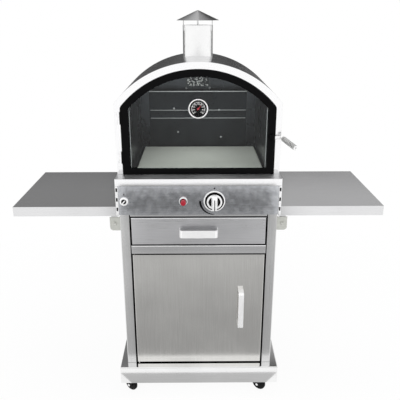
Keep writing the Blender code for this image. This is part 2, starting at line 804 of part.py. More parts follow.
def make_drawer():
    slide = axis_at("drawer_slide", (0, CABINET_FRONT, DRAWER_SLIDE_Z))
    front_back = CABINET_FRONT + FRONT_PAN_D
    face = (FRONT_HALF_W, CABINET_FRONT, front_back, DRAWER_BOTTOM, DRAWER_TOP)
    front = pan_x("drawer_front", *face, SHEET, brushed())
    z0 = DRAWER_BOTTOM + DRAWER_BOX_LIFT
    z1 = z0 + DRAWER_BOX_H
    half = DRAWER_BOX_HALF_W
    y0 = front_back + GAP
    y1 = CABINET_BACK - DRAWER_BOX_BACK_GAP
    inner = (-half + THIN, half - THIN, y0 + THIN, y1 - THIN)
    loops = [rectangle(-half, half, y0, y1, z0), rectangle(-half, half, y0, y1, z1)]
    loops += [rectangle(*inner, z1), rectangle(*inner, z0 + THIN)]
    box = loft("drawer_box", loops, brushed())
    half_bar = RUNNER_H / 2 - SHEET - PIN_CLEAR
    bar_z = (DRAWER_SLIDE_Z - half_bar, DRAWER_SLIDE_Z + half_bar)
    for side in (-1, 1):
        x0, x1 = sorted((side * (half - THIN / 2), side * (OPENING_HALF_W - GAP - SHEET - PIN_CLEAR)))
        weld(box, block("bar", x0, x1, y0 + SLIDE_BAR_INSET, y1, *bar_z))
    centre = (DRAWER_BOTTOM + DRAWER_TOP) / 2
    outline = [(u, CABINET_FRONT - v) for u, v in bow(DRAWER_HANDLE_L, DRAWER_HANDLE_D)]
    half = DRAWER_HANDLE_W / 2
    handle = along_z("drawer_handle", outline, centre - half, centre + half, bright())
    hang(slide, front, box, smooth(handle))


def make_cabinet_door():
    """A pressed door that turns on two pins at its left edge, and its bow handle."""
    x = -(FRONT_HALF_W - DOOR_PIN_INSET)
    y = CABINET_FRONT + DOOR_PIN_BACK
    hinge = axis_at("cabinet_door_hinge", (x, y, DOOR_BOTTOM))
    back = CABINET_FRONT + FRONT_PAN_D
    door = pan_x("cabinet_door", FRONT_HALF_W, CABINET_FRONT, back, DOOR_BOTTOM, DOOR_TOP, SHEET, brushed())
    upper = (DOOR_TOP - SHEET / 2, DOOR_TOP + REVEAL + SHEET + GAP)
    lower = (DOOR_BOTTOM - DOOR_FOOT_GAP - TRAY_T - GAP, DOOR_BOTTOM + SHEET / 2)
    for z0, z1 in (upper, lower):
        weld(door, rod("pin", (x, y, z0), (x, y, z1), DOOR_PIN_R))
    centre = DOOR_TOP - DOOR_HANDLE_DROP
    handle_x = FRONT_HALF_W - DOOR_HANDLE_INSET
    outline = [(CABINET_FRONT - v, centre + u) for u, v in bow(DOOR_HANDLE_L, DOOR_HANDLE_D)]
    half = DOOR_HANDLE_W / 2
    handle = along_x("cabinet_door_handle", outline, handle_x - half, handle_x + half, bright())
    hang(hinge, smooth(door), smooth(handle))


def make_console():
    """The top sheet turns down into the front band, and each cheek turns in beside the control panel."""
    under = CONSOLE_TOP - SHEET
    outline = [(BODY_FRONT, CONSOLE_TOP), (BODY_BACK, CONSOLE_TOP), (BODY_BACK, under), (PANEL_BACK, under),
               (PANEL_BACK, PANEL_TOP), (BODY_FRONT, PANEL_TOP)]
    top = along_x("console_top", outline, -BODY_HALF_W, BODY_HALF_W, brushed())
    bore = PIPE_R + PIPE_CLEAR
    ends = ((KNOB_X, BURNER_Y, under - OVERRUN), (KNOB_X, BURNER_Y, CONSOLE_TOP + OVERRUN))
    cut(top, rod("hole", *ends, bore))
    low = PANEL_BOTTOM - CHEEK_DROP
    band = PANEL_TOP - GAP
    for side, name in ((-1, "console_side_left"), (1, "console_side_right")):
        sheet = [(BODY_FRONT, low), (BODY_BACK, low), (BODY_BACK, FRAME_TOP), (PANEL_BACK + GAP, FRAME_TOP),
                 (PANEL_BACK + GAP, band), (BODY_FRONT, band)]
        x0, x1 = sorted((side * BODY_HALF_W, side * (BODY_HALF_W - SHEET)))
        cheek = along_x(name, sheet, x0, x1, brushed())
        x0, x1 = sorted((side * (BODY_HALF_W - SHEET / 2), side * (BODY_HALF_W - CHEEK_W)))
        weld(cheek, block("flange", x0, x1, BODY_FRONT, PANEL_BACK, low, band))
        centre = side * (BODY_HALF_W - CHEEK_W / 2)
        slots = []
        for i in range(SLOT_COUNT):
            z = PANEL_TOP - SLOT_TOP_DROP - i * SLOT_PITCH
            span = (centre - SLOT_W / 2, centre + SLOT_W / 2, BODY_FRONT - OVERRUN, PANEL_BACK + OVERRUN)
            slots.append(block("slot", *span, z - SLOT_H / 2, z + SLOT_H / 2))
        cut(cheek, grouped("slots", slots, None))


def make_control_panel():
    half = BODY_HALF_W - CHEEK_W - GAP
    foot = CABINET_FRONT - GAP
    head = PANEL_TOP - GAP
    outline = [(PANEL_FRONT, head), (PANEL_BACK, head), (PANEL_BACK, PANEL_BOTTOM + SHEET),
               (foot, PANEL_BOTTOM + SHEET), (foot, PANEL_BOTTOM), (PANEL_FRONT, PANEL_BOTTOM)]
    panel = along_x("control_panel", outline, -half, half, brushed())
    igniter = IGNITER_R + IGNITER_CLEAR + IGNITER_BODY_WALL + PIN_CLEAR
    lamp = LAMP_SWITCH_R + PIN_CLEAR + LAMP_CUP_WALL + PIN_CLEAR
    holes = ((KNOB_X, SHAFT_R + PIN_CLEAR), (IGNITER_X, igniter), (LAMP_SWITCH_X, lamp))
    for x, radius in holes:
        ends = ((x, PANEL_FRONT - OVERRUN, CONTROL_Z), (x, PANEL_BACK + OVERRUN, CONTROL_Z))
        cut(panel, rod("hole", *ends, radius, None, ROUND_FACES))
    return panel


def on_panel(name, profile, x, finish, faces=ROUND_FACES):
    """A turned piece round a control's line, with its heights measured out from the panel's face."""
    return smooth(turned(name, profile, (x, PANEL_FRONT, CONTROL_Z), (0, -1, 0), finish, faces))


def make_knob_bezel():
    """A shallow cup round the knob, with a hole for its shaft."""
    shaft = SHAFT_R + PIN_CLEAR
    inner = BEZEL_R - BEZEL_W
    top = GAP + BEZEL_H
    floor = GAP + BEZEL_FLOOR
    profile = [(shaft, GAP), (BEZEL_R, GAP), (BEZEL_R, top), (inner, top), (inner, floor), (shaft, floor)]
    on_panel("knob_bezel", profile, KNOB_X, bright(), LARGE_FACES)


def make_knob():
    """A round disc with a bar grip, whose shaft runs through the panel into the valve."""
    hinge = axis_at("knob_axis", (KNOB_X, PANEL_FRONT, CONTROL_Z))
    foot = GAP + BEZEL_FLOOR + KNOB_LIFT
    top = foot + KNOB_T
    profile = [(0, -SHAFT_REACH), (SHAFT_R, -SHAFT_REACH), (SHAFT_R, foot), (KNOB_R, foot),
               (KNOB_R, top - KNOB_CHAMFER), (KNOB_R - KNOB_CHAMFER, top), (0, top)]
    knob = on_panel("knob", profile, KNOB_X, bright(), LARGE_FACES)
    half = GRIP_W / 2
    reach = KNOB_R - KNOB_CHAMFER
    rows = []
    for out, taper in ((top - KNOB_CHAMFER, 0), (GRIP_H - GRIP_TAPER, 0), (GRIP_H, GRIP_TAPER)):
        w = half - taper / 2
        h = reach - taper
        y = PANEL_FRONT - out
        rows.append([(KNOB_X + x, y, CONTROL_Z + z) for x, z in ((-w, -h), (w, -h), (w, h), (-w, h))])
    weld(knob, loft("grip", rows))
    hang(hinge, smooth(knob))


def make_igniter():
    """A push button in a barrel that goes through the panel, with a collar in front of it."""
    slide = axis_at("igniter_axis", (IGNITER_X, PANEL_FRONT, CONTROL_Z))
    profile = [(0, -IGNITER_DEPTH), (IGNITER_R, -IGNITER_DEPTH), (IGNITER_R, IGNITER_PROUD - IGNITER_EDGE),
               (IGNITER_R - IGNITER_EDGE, IGNITER_PROUD), (0, IGNITER_PROUD)]
    red = material("red button", (0.60, 0.02, 0.05), 0.35)
    hang(slide, on_panel("igniter_button", profile, IGNITER_X, red))
    bore = IGNITER_R + IGNITER_CLEAR
    wall = bore + IGNITER_BODY_WALL
    collar = bore + IGNITER_COLLAR_W
    top = GAP + IGNITER_COLLAR_H
    barrel = [(0, -IGNITER_BODY_L), (wall, -IGNITER_BODY_L), (wall, GAP), (collar, GAP),
              (collar, top - IGNITER_EDGE), (collar - IGNITER_EDGE, top), (bore, top),
              (bore, IGNITER_BODY_WALL - IGNITER_BODY_L), (0, IGNITER_BODY_WALL - IGNITER_BODY_L)]
    on_panel("igniter_body", barrel, IGNITER_X, bright())


def make_lamp_switch():
    """A rotary switch in a collar whose cup goes through the panel."""
    seat = LAMP_SWITCH_R + PIN_CLEAR
    cup = seat + LAMP_CUP_WALL
    collar = seat + LAMP_COLLAR_W
    top = GAP + LAMP_COLLAR_H
    holder = [(0, -LAMP_CUP_D), (cup, -LAMP_CUP_D), (cup, GAP), (collar, GAP), (collar, top), (seat, top),
              (seat, LAMP_CUP_WALL - LAMP_CUP_D), (0, LAMP_CUP_WALL - LAMP_CUP_D)]
    on_panel("lamp_switch_collar", holder, LAMP_SWITCH_X, bright())
    hinge = axis_at("lamp_switch_axis", (LAMP_SWITCH_X, PANEL_FRONT, CONTROL_Z))
    profile = [(0, -LAMP_SWITCH_DEPTH), (LAMP_SWITCH_R, -LAMP_SWITCH_DEPTH),
               (LAMP_SWITCH_R, LAMP_SWITCH_PROUD), (0, LAMP_SWITCH_PROUD)]
    switch = on_panel("lamp_switch", profile, LAMP_SWITCH_X, black_nylon())
    face = PANEL_FRONT - LAMP_SWITCH_PROUD
    half = LAMP_SWITCH_BAR_W / 2
    reach = LAMP_SWITCH_R - LAMP_SWITCH_BAR_H / 2
    x0, x1 = LAMP_SWITCH_X - half, LAMP_SWITCH_X + half
    depth = (face - LAMP_SWITCH_BAR_H, face + LAMP_SWITCH_BAR_H)
    weld(switch, block("bar", x0, x1, *depth, CONTROL_Z - reach, CONTROL_Z + reach))
    hang(hinge, smooth(switch))


def make_gas_valve():
    """The valve hangs on its neck behind the panel, and the knob's shaft ends in its bore."""
    front = PANEL_BACK + VALVE_NECK
    valve = block("gas_valve", KNOB_X - VALVE_W / 2, KNOB_X + VALVE_W / 2, front, front + VALVE_D,
                  CONTROL_Z - VALVE_H / 2, CONTROL_Z + VALVE_H / 2, brass())
    neck = ((KNOB_X, PANEL_BACK + GAP, CONTROL_Z), (KNOB_X, front + VALVE_NECK, CONTROL_Z))
    weld(valve, rod("neck", *neck, VALVE_NECK_R, None, ROUND_FACES))
    bore = ((KNOB_X, PANEL_FRONT, CONTROL_Z), (KNOB_X, PANEL_FRONT + SHAFT_REACH + OVERRUN, CONTROL_Z))
    return smooth(cut(valve, rod("bore", *bore, SHAFT_R + PIN_CLEAR)))


def pipe_route(corners, radius):
    """Points of a pipe through square corners, with each corner bent at the radius."""
    points = [Vector(corners[0])]
    for before, corner, after in zip(corners, corners[1:], corners[2:]):
        corner = Vector(corner)
        back = (Vector(before) - corner).normalized()
        ahead = (Vector(after) - corner).normalized()
        centre = corner + (back + ahead) * radius
        for i in range(PIPE_STEPS + 1):
            a = math.pi / 2 * i / PIPE_STEPS
            points.append(centre - ahead * radius * math.cos(a) - back * radius * math.sin(a))
    points.append(Vector(corners[-1]))
    return points


def tube(name, points, radius, resolution, finish=None):
    """A round tube along a path, from a bevelled curve with filled caps."""
    curve = bpy.data.curves.new(name, "CURVE")
    curve.dimensions = "3D"
    curve.bevel_depth = radius
    curve.bevel_resolution = resolution
    curve.use_fill_caps = True
    path = curve.splines.new("POLY")
    path.points.add(len(points) - 1)
    for target, p in zip(path.points, points):
        target.co = (*p, 1.0)
    drawn = bpy.data.objects.new(name, curve)
    bpy.context.scene.collection.objects.link(drawn)
    graph = bpy.context.evaluated_depsgraph_get()
    mesh = bpy.data.meshes.new_from_object(drawn.evaluated_get(graph))
    bpy.data.objects.remove(drawn)
    shape = bmesh.new()
    shape.from_mesh(mesh)
    bmesh.ops.remove_doubles(shape, verts=shape.verts, dist=WELD_DIST)
    bmesh.ops.recalc_face_normals(shape, faces=shape.faces)
    shape.to_mesh(mesh)
    shape.free()
    mesh.materials.clear()
    return new_object(name, mesh, finish)


def make_gas_feed():
    """A pipe from the union at the back of the cabinet to the side of the valve."""
    y = PANEL_BACK + VALVE_NECK + VALVE_D / 2
    start = CABINET_BACK + UNION_L
    valve_side = KNOB_X + VALVE_W / 2 + GAP
    corners = [(INLET_X, start, CONTROL_Z), (INLET_X, y, CONTROL_Z), (valve_side, y, CONTROL_Z)]
    feed = tube("gas_feed", pipe_route(corners, INLET_BEND_R), PIPE_R, PIPE_RESOLUTION, brass())
    ends = ((INLET_X, CABINET_BACK + GAP, CONTROL_Z), (INLET_X, start + GAP, CONTROL_Z))
    smooth(weld(feed, rod("union", *ends, UNION_R, None, HEX_FACES)))


def make_burner():
    """A burner tube across the back of the oven, on two saddles, with its pipe down to the valve."""
    ends = ((-BURNER_HALF_L, BURNER_Y, BURNER_Z), (BURNER_HALF_L, BURNER_Y, BURNER_Z))
    burner = rod("burner_tube", *ends, BURNER_R, oven_steel(), ROUND_FACES)
    for x in (-SADDLE_X, SADDLE_X):
        span = (x - SADDLE_T / 2, x + SADDLE_T / 2, BURNER_Y - BURNER_R, BURNER_Y + BURNER_R)
        weld(burner, block("saddle", *span, LINER_FLOOR + GAP, BURNER_Z))
    start = (KNOB_X, PANEL_BACK + VALVE_NECK + VALVE_D + GAP, CONTROL_Z)
    corners = [start, (KNOB_X, BURNER_Y, CONTROL_Z), (KNOB_X, BURNER_Y, BURNER_Z)]
    smooth(weld(burner, tube("delivery", pipe_route(corners, INLET_BEND_R), PIPE_R, PIPE_RESOLUTION)))


def make_shelves():
    """Each side shelf is an inverted pan on two arms, which turn on bolts in four lugs on the cabinet."""
    top = CONSOLE_TOP - SHELF_DROP
    pivot_z = top - SHELF_PIVOT_DROP
    front_lug = BODY_FRONT + LUG_FRONT_INSET
    rear_lug = BODY_FRONT + SHELF_D - LUG_FRONT_INSET
    for side, name in ((-1, "shelf_left"), (1, "shelf_right")):
        hinge = axis_at(f"{name}_hinge", (side * SHELF_PIVOT_X, front_lug, pivot_z))
        x0, x1 = sorted((side * (BODY_HALF_W + GAP), side * (BODY_HALF_W + GAP + SHELF_W)))
        plan = (x0, x1, BODY_FRONT, BODY_FRONT + SHELF_D)
        shelf = pan_down(name, *plan, top - SHELF_LIP, top, THIN, THIN, brushed())
        for end, y, inward in (("front", front_lug, 1), ("rear", rear_lug, -1)):
            near = y + inward * (LUG_T + GAP)
            far = near + inward * ARM_T
            x = side * SHELF_PIVOT_X
            weld(shelf, make_arm(x, min(near, far), max(near, far), pivot_z, top - THIN / 2))
            bore = ((x, near - inward * OVERRUN, pivot_z), (x, far + inward * OVERRUN, pivot_z))
            cut(shelf, rod("bore", *bore, BOLT_R + PIN_CLEAR))
            make_lug(name.replace("shelf", f"shelf_lug_{end}"), side, y, inward, pivot_z)
        hang(hinge, smooth(shelf))


def make_arm(x, y0, y1, pivot_z, top):
    outline = [(x + ARM_HALF_W, top), (x - ARM_HALF_W, top)]
    for i in range(SMALL_FACES // 2 + 1):
        a = math.pi + math.pi * i / (SMALL_FACES // 2)
        outline.append((x + ARM_HALF_W * math.cos(a), pivot_z + ARM_HALF_W * math.sin(a)))
    return along_y("arm", outline, y0, y1)


def make_lug(name, side, y, inward, pivot_z):
    """A plate square to the cabinet with a flange against it, a round lower corner and the shelf's bolt."""
    wall = CABINET_HALF_W + GAP
    z1 = pivot_z + LUG_ABOVE_PIVOT
    z0 = z1 - LUG_H
    outline = [(wall, z0), (wall, z1), (wall + LUG_W, z1)]
    for i in range(SMALL_FACES // 4 + 1):
        a = math.pi / 2 * i / (SMALL_FACES // 4)
        outline.append((wall + LUG_W - LUG_CORNER_R + LUG_CORNER_R * math.cos(a),
                        z0 + LUG_CORNER_R - LUG_CORNER_R * math.sin(a)))
    near, far = sorted((y, y + inward * LUG_T))
    steel = material("lug steel", (0.56, 0.56, 0.52), 0.45, 0.6)
    lug = along_y(name, mirrored(outline, side), near, far, steel)
    x = side * SHELF_PIVOT_X
    x0, x1 = sorted((side * wall, side * (wall + LUG_T)))
    y0, y1 = sorted((y + inward * LUG_T / 2, y + inward * LUG_FLANGE))
    weld(lug, block("flange", x0, x1, y0, y1, z0, z1))
    head = (x, y - inward * BOLT_HEAD_H, pivot_z)
    nut = (x, y + inward * (LUG_T + ARM_T + 2 * GAP), pivot_z)
    end = (x, y + inward * (LUG_T + ARM_T + 2 * GAP + BOLT_HEAD_H), pivot_z)
    weld(lug, rod("head", head, (x, y + inward * LUG_T / 2, pivot_z), BOLT_HEAD_R))
    weld(lug, rod("bolt", (x, y, pivot_z), end, BOLT_R))
    smooth(weld(lug, rod("nut", nut, end, BOLT_HEAD_R, None, HEX_FACES)))


def swept(name, section, finish, closed=False):
    """Sweeps a section round the arch: each of its corners is an arch outline with the y it runs at."""
    outlines = [outline for outline, y in section]
    depths = [y for outline, y in section]
    rows = [[(x, y, z) for (x, z), y in zip(points, depths)] for points in zip(*outlines)]
    return loft(name, rows, finish, closed)


def surround_arch(inset):
    """The surround's inner edge, moved towards the hood by an inset."""
    half = OVEN_DOOR_HALF_W + DOOR_CLEAR + inset
    radius = OVEN_DOOR_R + DOOR_CLEAR + inset
    return arch(half, radius, OVEN_BASE, OVEN_DOOR_BEND_R + DOOR_CLEAR + inset)


def make_hood():
    """The hood is one arched sheet with a hole for the chimney, and a back sheet welded to it."""
    outer = arch(HOOD_HALF_W, HOOD_R, OVEN_BASE, HOOD_BEND_R)
    inner = arch(HOOD_HALF_W - SHEET, HOOD_R - SHEET, OVEN_BASE, HOOD_BEND_R - SHEET)
    front = OVEN_FRONT + SHEET + GAP
    back = BODY_BACK - SHEET / 2
    hood = swept("hood_shell", [(outer, front), (outer, back), (inner, back), (inner, front)], brushed())
    hole = ((0, CHIMNEY_Y, HOOD_TOP - HOOD_RISE / 2), (0, CHIMNEY_Y, HOOD_TOP + OVERRUN))
    cut(hood, rod("hole", *hole, CHIMNEY_R + PIN_CLEAR, None, LARGE_FACES))
    smooth(weld(hood, along_y("back", outer, BODY_BACK - SHEET, BODY_BACK)))


def make_surround():
    """A flat arched ring that turns back along its inner edge."""
    outer = arch(HOOD_HALF_W, HOOD_R, OVEN_BASE, HOOD_BEND_R)
    edge = surround_arch(0)
    fold = surround_arch(SHEET)
    back = OVEN_FRONT + SURROUND_D
    face = OVEN_FRONT + SHEET
    section = [(outer, OVEN_FRONT), (edge, OVEN_FRONT), (edge, back)]
    section += [(fold, back), (fold, face), (outer, face)]
    surround = swept("front_surround", section, bright())
    for share in HINGE_RISE_SHARES:
        weld(surround, make_fixed_leaf(CONSOLE_TOP + share * HOOD_SIDE_H))
    smooth(weld(surround, make_keeper()))


def make_keeper():
    """An angle on the surround whose ledge the latch arm rests on."""
    ledge = LATCH_Z - LATCH_ARM_H / 2 - KEEPER_CLEAR
    face = OVEN_FRONT - KEEPER_T
    tip = OVEN_FRONT - KEEPER_REACH
    under = ledge - KEEPER_T
    inside = OVEN_FRONT + SHEET / 2
    outline = [(inside, ledge - KEEPER_H), (inside, ledge), (tip, ledge), (tip, under), (face, under),
               (face, ledge - KEEPER_H)]
    right = HOOD_HALF_W - KEEPER_INSET
    return along_x("keeper", outline, right - KEEPER_W, right)


def make_liner():
    """The oven's inner box, with a flange round its mouth, a flue hole and a hole for the gas pipe."""
    bend = LINER_BEND_R
    outer = arch(LINER_HALF_W, LINER_R, LINER_BASE, bend)
    inner = arch(LINER_HALF_W - THIN, LINER_R - THIN, LINER_FLOOR, bend - THIN)
    flange = surround_arch(-GAP)
    back = LINER_BACK - THIN
    lip = LINER_FRONT + THIN
    loops = [at_y(inner, back), at_y(inner, LINER_FRONT), at_y(flange, LINER_FRONT), at_y(flange, lip)]
    loops += [at_y(outer, lip), at_y(outer, LINER_BACK)]
    liner = loft("cavity_liner", loops, oven_steel())
    crown = ARCH_Z + LINER_R
    flue = ((0, CHIMNEY_Y, crown - LINER_TOP_GAP), (0, CHIMNEY_Y, crown + OVERRUN))
    cut(liner, rod("flue", *flue, FLUE_R, None, LARGE_FACES))
    inlet = ((KNOB_X, BURNER_Y, LINER_BASE - OVERRUN), (KNOB_X, BURNER_Y, LINER_FLOOR + OVERRUN))
    cut(liner, rod("inlet", *inlet, PIPE_R + PIPE_CLEAR))
    return smooth(liner)


def make_hearth():
    """A steel plate under a loose baking stone with chamfered upper edges."""
    plate_z = LINER_FLOOR + GAP
    ends = (STONE_FRONT - HEARTH_LIP, STONE_BACK + HEARTH_TAIL)
    block("hearth_plate", -HEARTH_HALF_W, HEARTH_HALF_W, *ends, plate_z, plate_z + HEARTH_T, oven_steel())
    z0 = plate_z + HEARTH_T + GAP
    x0, x1 = STONE_SHIFT - STONE_HALF_W, STONE_SHIFT + STONE_HALF_W
    loops = []
    for inset, z in ((0, z0), (0, z0 + STONE_T - STONE_CHAMFER), (STONE_CHAMFER, z0 + STONE_T)):
        loops.append(rectangle(x0 + inset, x1 - inset, STONE_FRONT + inset, STONE_BACK - inset, z))
    loft("pizza_stone", loops, material("baking stone", (0.52, 0.53, 0.47), 0.85))


def make_rear_baffle():
    """A screen in front of the burner, with two pressed beads, a folded top and a screw near each corner."""
    y = BAFFLE_Y
    z0 = LINER_FLOOR + GAP
    z1 = z0 + BAFFLE_H
    path = [(0, z0)]
    for share in BEAD_RISE_SHARES:
        z = z0 + share * BAFFLE_H
        path += [(0, z - BEAD_H / 2), (-BEAD_D, z), (0, z + BEAD_H / 2)]
    front = [(y + d, z) for d, z in path] + [(y, z1), (y + BAFFLE_FOLD, z1)]
    back = [(y + BAFFLE_FOLD, z1 - THIN), (y + THIN, z1 - THIN)]
    back += [(y + THIN + d, z) for d, z in reversed(path)]
    baffle = along_x("rear_baffle", front + back, -BAFFLE_HALF_W, BAFFLE_HALF_W, oven_steel())
    for x in (-BAFFLE_HALF_W + SCREW_INSET, BAFFLE_HALF_W - SCREW_INSET):
        for z in (z0 + SCREW_INSET * 2, z1 - SCREW_INSET):
            weld(baffle, rod("screw", (x, y - SCREW_H, z), (x, y + THIN / 2, z), SCREW_R))
    return smooth(baffle)


def make_oven_lamp():
    """A lamp box high on the back wall with a bevelled glass and two screws."""
    back = LINER_BACK - THIN - GAP
    front = back - LAMP_D
    z1 = ARCH_Z + LINER_R - THIN - LAMP_TOP_GAP
    z0 = z1 - LAMP_H
    housing = block("lamp_housing", -LAMP_HALF_W, LAMP_HALF_W, front, back, z0, z1, oven_steel())
    for x in (-LAMP_HALF_W + LAMP_SCREW_INSET, LAMP_HALF_W - LAMP_SCREW_INSET):
        z = z0 + LAMP_SCREW_RISE
        weld(housing, rod("screw", (x, front - SCREW_H, z), (x, front + SCREW_H, z), LAMP_SCREW_R))
    smooth(housing)
    middle = (z0 + z1) / 2
    half_w = LAMP_HALF_W - LAMP_GLASS_INSET
    half_h = LAMP_GLASS_H / 2
    face = front - GAP
    loops = []
    front = face - LAMP_GLASS_T
    for inset, y in ((0, face), (0, front + LAMP_GLASS_BEVEL), (LAMP_GLASS_BEVEL, front)):
        w, h = half_w - inset, half_h - inset
        loops.append([(-w, y, middle - h), (w, y, middle - h), (w, y, middle + h), (-w, y, middle + h)])
    loft("lamp_glass", loops, material("lamp glass", (0.60, 0.55, 0.45), 0.25, 0.0, 0.8))


def make_chimney():
    """A pipe that stands on the liner through the hood, with three welded struts under a cone cap."""
    foot = ARCH_Z + LINER_R + GAP
    top = HOOD_TOP + CHIMNEY_TOP_RISE
    inner = CHIMNEY_R - THIN
    profile = [(inner, foot), (CHIMNEY_R, foot), (CHIMNEY_R, top), (inner, top)]
    pipe = turned("chimney_pipe", profile, (0, CHIMNEY_Y, 0), (0, 0, 1), bright(), LARGE_FACES)
    slope = math.atan2(CAP_H, CAP_R)
    rim = top + CAP_LIFT
    cone = [(0, rim + CAP_H), (CAP_R, rim), (CAP_R - SHEET / math.sin(slope), rim),
            (0, rim + CAP_H - SHEET / math.cos(slope))]
    smooth(turned("chimney_cap", cone, (0, CHIMNEY_Y, 0), (0, 0, 1), bright(), LARGE_FACES))
    under = rim + CAP_H * (1 - (CHIMNEY_R + STRUT_T) / CAP_R) - SHEET / math.cos(slope) - GAP
    for angle in STRUT_ANGLES:
        depth = (-CHIMNEY_R - STRUT_T, -CHIMNEY_R + THIN)
        strut = block("strut", -STRUT_W / 2, STRUT_W / 2, *depth, top - STRUT_LAP, under)
        strut.data.transform(Matrix.Translation((0, CHIMNEY_Y, 0)) @ Matrix.Rotation(angle, 4, "Z"))
        weld(pipe, strut)
    smooth(pipe)


def make_oven_door():
    """A black frame with a window, which turns on two hinges at its left edge."""
    hinge = axis_at("oven_door_hinge", (*hinge_axis(), OVEN_DOOR_BOTTOM))
    outer = door_arch(0)
    wall = door_arch(FRAME_EDGE)
    window = arch(WINDOW_HALF_W, WINDOW_R, OVEN_DOOR_BOTTOM + SILL_W, WINDOW_BEND_R)
    face = OVEN_DOOR_FRONT + FRAME_T
    section = [(outer, OVEN_DOOR_FRONT), (window, OVEN_DOOR_FRONT), (window, face), (wall, face),
               (wall, OVEN_DOOR_BACK), (outer, OVEN_DOOR_BACK)]
    frame = swept("oven_door_frame", section, enamel(), True)
    bore = ((LATCH_X, OVEN_DOOR_FRONT - OVERRUN, LATCH_Z), (LATCH_X, face + OVERRUN / 2, LATCH_Z))
    cut(frame, rod("bore", *bore, LATCH_PIN_R + PIN_CLEAR))
    glass_back = GLASS_FRONT + GLASS_T
    pane = door_arch(FRAME_EDGE + GLASS_CLEAR)
    glass = along_y("oven_door_glass", pane, GLASS_FRONT, glass_back, clear_glass())
    through = ((0, GLASS_FRONT - OVERRUN, GAUGE_Z), (0, glass_back + OVERRUN, GAUGE_Z))
    cut(glass, rod("hole", *through, GAUGE_STEM_R + PIN_CLEAR))
    hang(hinge, smooth(frame), glass)
    for name, share in zip(("door_hinge_lower", "door_hinge_upper"), HINGE_RISE_SHARES):
        hang(hinge, make_door_leaf(name, CONSOLE_TOP + share * HOOD_SIDE_H))
    make_gauge(hinge)
    make_latch(hinge)


def door_arch(inset):
    half = OVEN_DOOR_HALF_W - inset
    return arch(half, OVEN_DOOR_R - inset, OVEN_DOOR_BOTTOM + inset, OVEN_DOOR_BEND_R - inset)


def hinge_axis():
    return -(HOOD_HALF_W - HINGE_AXIS_INSET), OVEN_DOOR_FRONT - HINGE_AXIS_PROUD


def knuckle_heights(middle):
    """The ends of a hinge and of its middle knuckle."""
    return middle - HINGE_H / 2, middle - HINGE_H / 6, middle + HINGE_H / 6, middle + HINGE_H / 2


def make_fixed_leaf(middle):
    """A leaf on the surround with the outer two knuckles, bored for the pin."""
    x, y = hinge_axis()
    z0, m0, m1, z1 = knuckle_heights(middle)
    left = -(HOOD_HALF_W - FIXED_LEAF_INSET)
    notch = x - BARREL_R - PIN_CLEAR
    outline = [(left, z0), (x, z0), (x, m0), (notch, m0), (notch, m1), (x, m1), (x, z1), (left, z1)]
    leaf = along_y("leaf", outline, OVEN_FRONT - HINGE_LEAF_T, OVEN_FRONT + SHEET / 2)
    for a, b in ((z0, m0), (m1, z1)):
        weld(leaf, rod("knuckle", (x, y, a), (x, y, b), BARREL_R))
    return cut(leaf, rod("bore", (x, y, z0 - OVERRUN), (x, y, z1 + OVERRUN), HINGE_PIN_R + PIN_CLEAR))


def make_door_leaf(name, middle):
    """A leaf on the door's frame with the middle knuckle and the pin."""
    x, y = hinge_axis()
    z0, m0, m1, z1 = knuckle_heights(middle)
    m0, m1 = m0 + GAP, m1 - GAP
    notch = x + BARREL_R + PIN_CLEAR
    right = x + DOOR_LEAF_W
    outline = [(notch, z0), (right, z0), (right, z1), (notch, z1)]
    outline += [(notch, m1), (x, m1), (x, m0), (notch, m0)]
    leaf = along_y(name, outline, OVEN_DOOR_FRONT - GAP - HINGE_LEAF_T, OVEN_DOOR_FRONT - GAP, bright())
    weld(leaf, rod("knuckle", (x, y, m0), (x, y, m1), BARREL_R))
    return smooth(weld(leaf, rod("pin", (x, y, z0), (x, y, z1), HINGE_PIN_R)))


def make_gauge(door):
    """A dial gauge in front of the glass, with its dial sunk in the rim, its stem and a needle on a pin."""
    centre = (0, GLASS_FRONT - GAP, GAUGE_Z)
    floor = GAUGE_H - GAUGE_DISH
    rim = GAUGE_R - GAUGE_RIM
    bore = NEEDLE_PIN_R + PIN_CLEAR
    profile = [(0, -GAUGE_STEM_L), (GAUGE_STEM_R, -GAUGE_STEM_L), (GAUGE_STEM_R, 0), (GAUGE_R, 0),
               (GAUGE_R, GAUGE_H - GAUGE_EDGE), (GAUGE_R - GAUGE_EDGE, GAUGE_H), (rim, GAUGE_H),
               (rim, floor), (bore, floor), (bore, floor - NEEDLE_PIN_BORE), (0, floor - NEEDLE_PIN_BORE)]
    case = turned("gauge_case", profile, centre, (0, -1, 0), bright(), LARGE_FACES)
    hang(door, smooth(case))
    pivot = axis_at("gauge_needle_axis", centre, door)
    y = centre[1] - floor - PIN_CLEAR
    tip = NEEDLE_W * NEEDLE_TIP_SHARE / 2
    half = NEEDLE_W / 2
    outline = [(-half, -NEEDLE_TAIL), (half, -NEEDLE_TAIL), (half, 0)]
    outline += [(tip, NEEDLE_R), (-tip, NEEDLE_R), (-half, 0)]
    red = material("needle red", (0.65, 0.03, 0.03), 0.5)
    needle = along_y("gauge_needle", outline, y - NEEDLE_T, y, red)
    weld(needle, rod("hub", (0, y - NEEDLE_T - GAP, 0), (0, y, 0), NEEDLE_HUB_R))
    foot = centre[1] - floor + NEEDLE_PIN_BORE - PIN_CLEAR
    weld(needle, rod("pin", (0, foot, 0), (0, y - NEEDLE_T / 2, 0), NEEDLE_PIN_R))
    needle.data.transform(Matrix.Translation((0, 0, GAUGE_Z)) @ Matrix.Rotation(NEEDLE_REST, 4, "Y"))
    hang(pivot, smooth(needle))


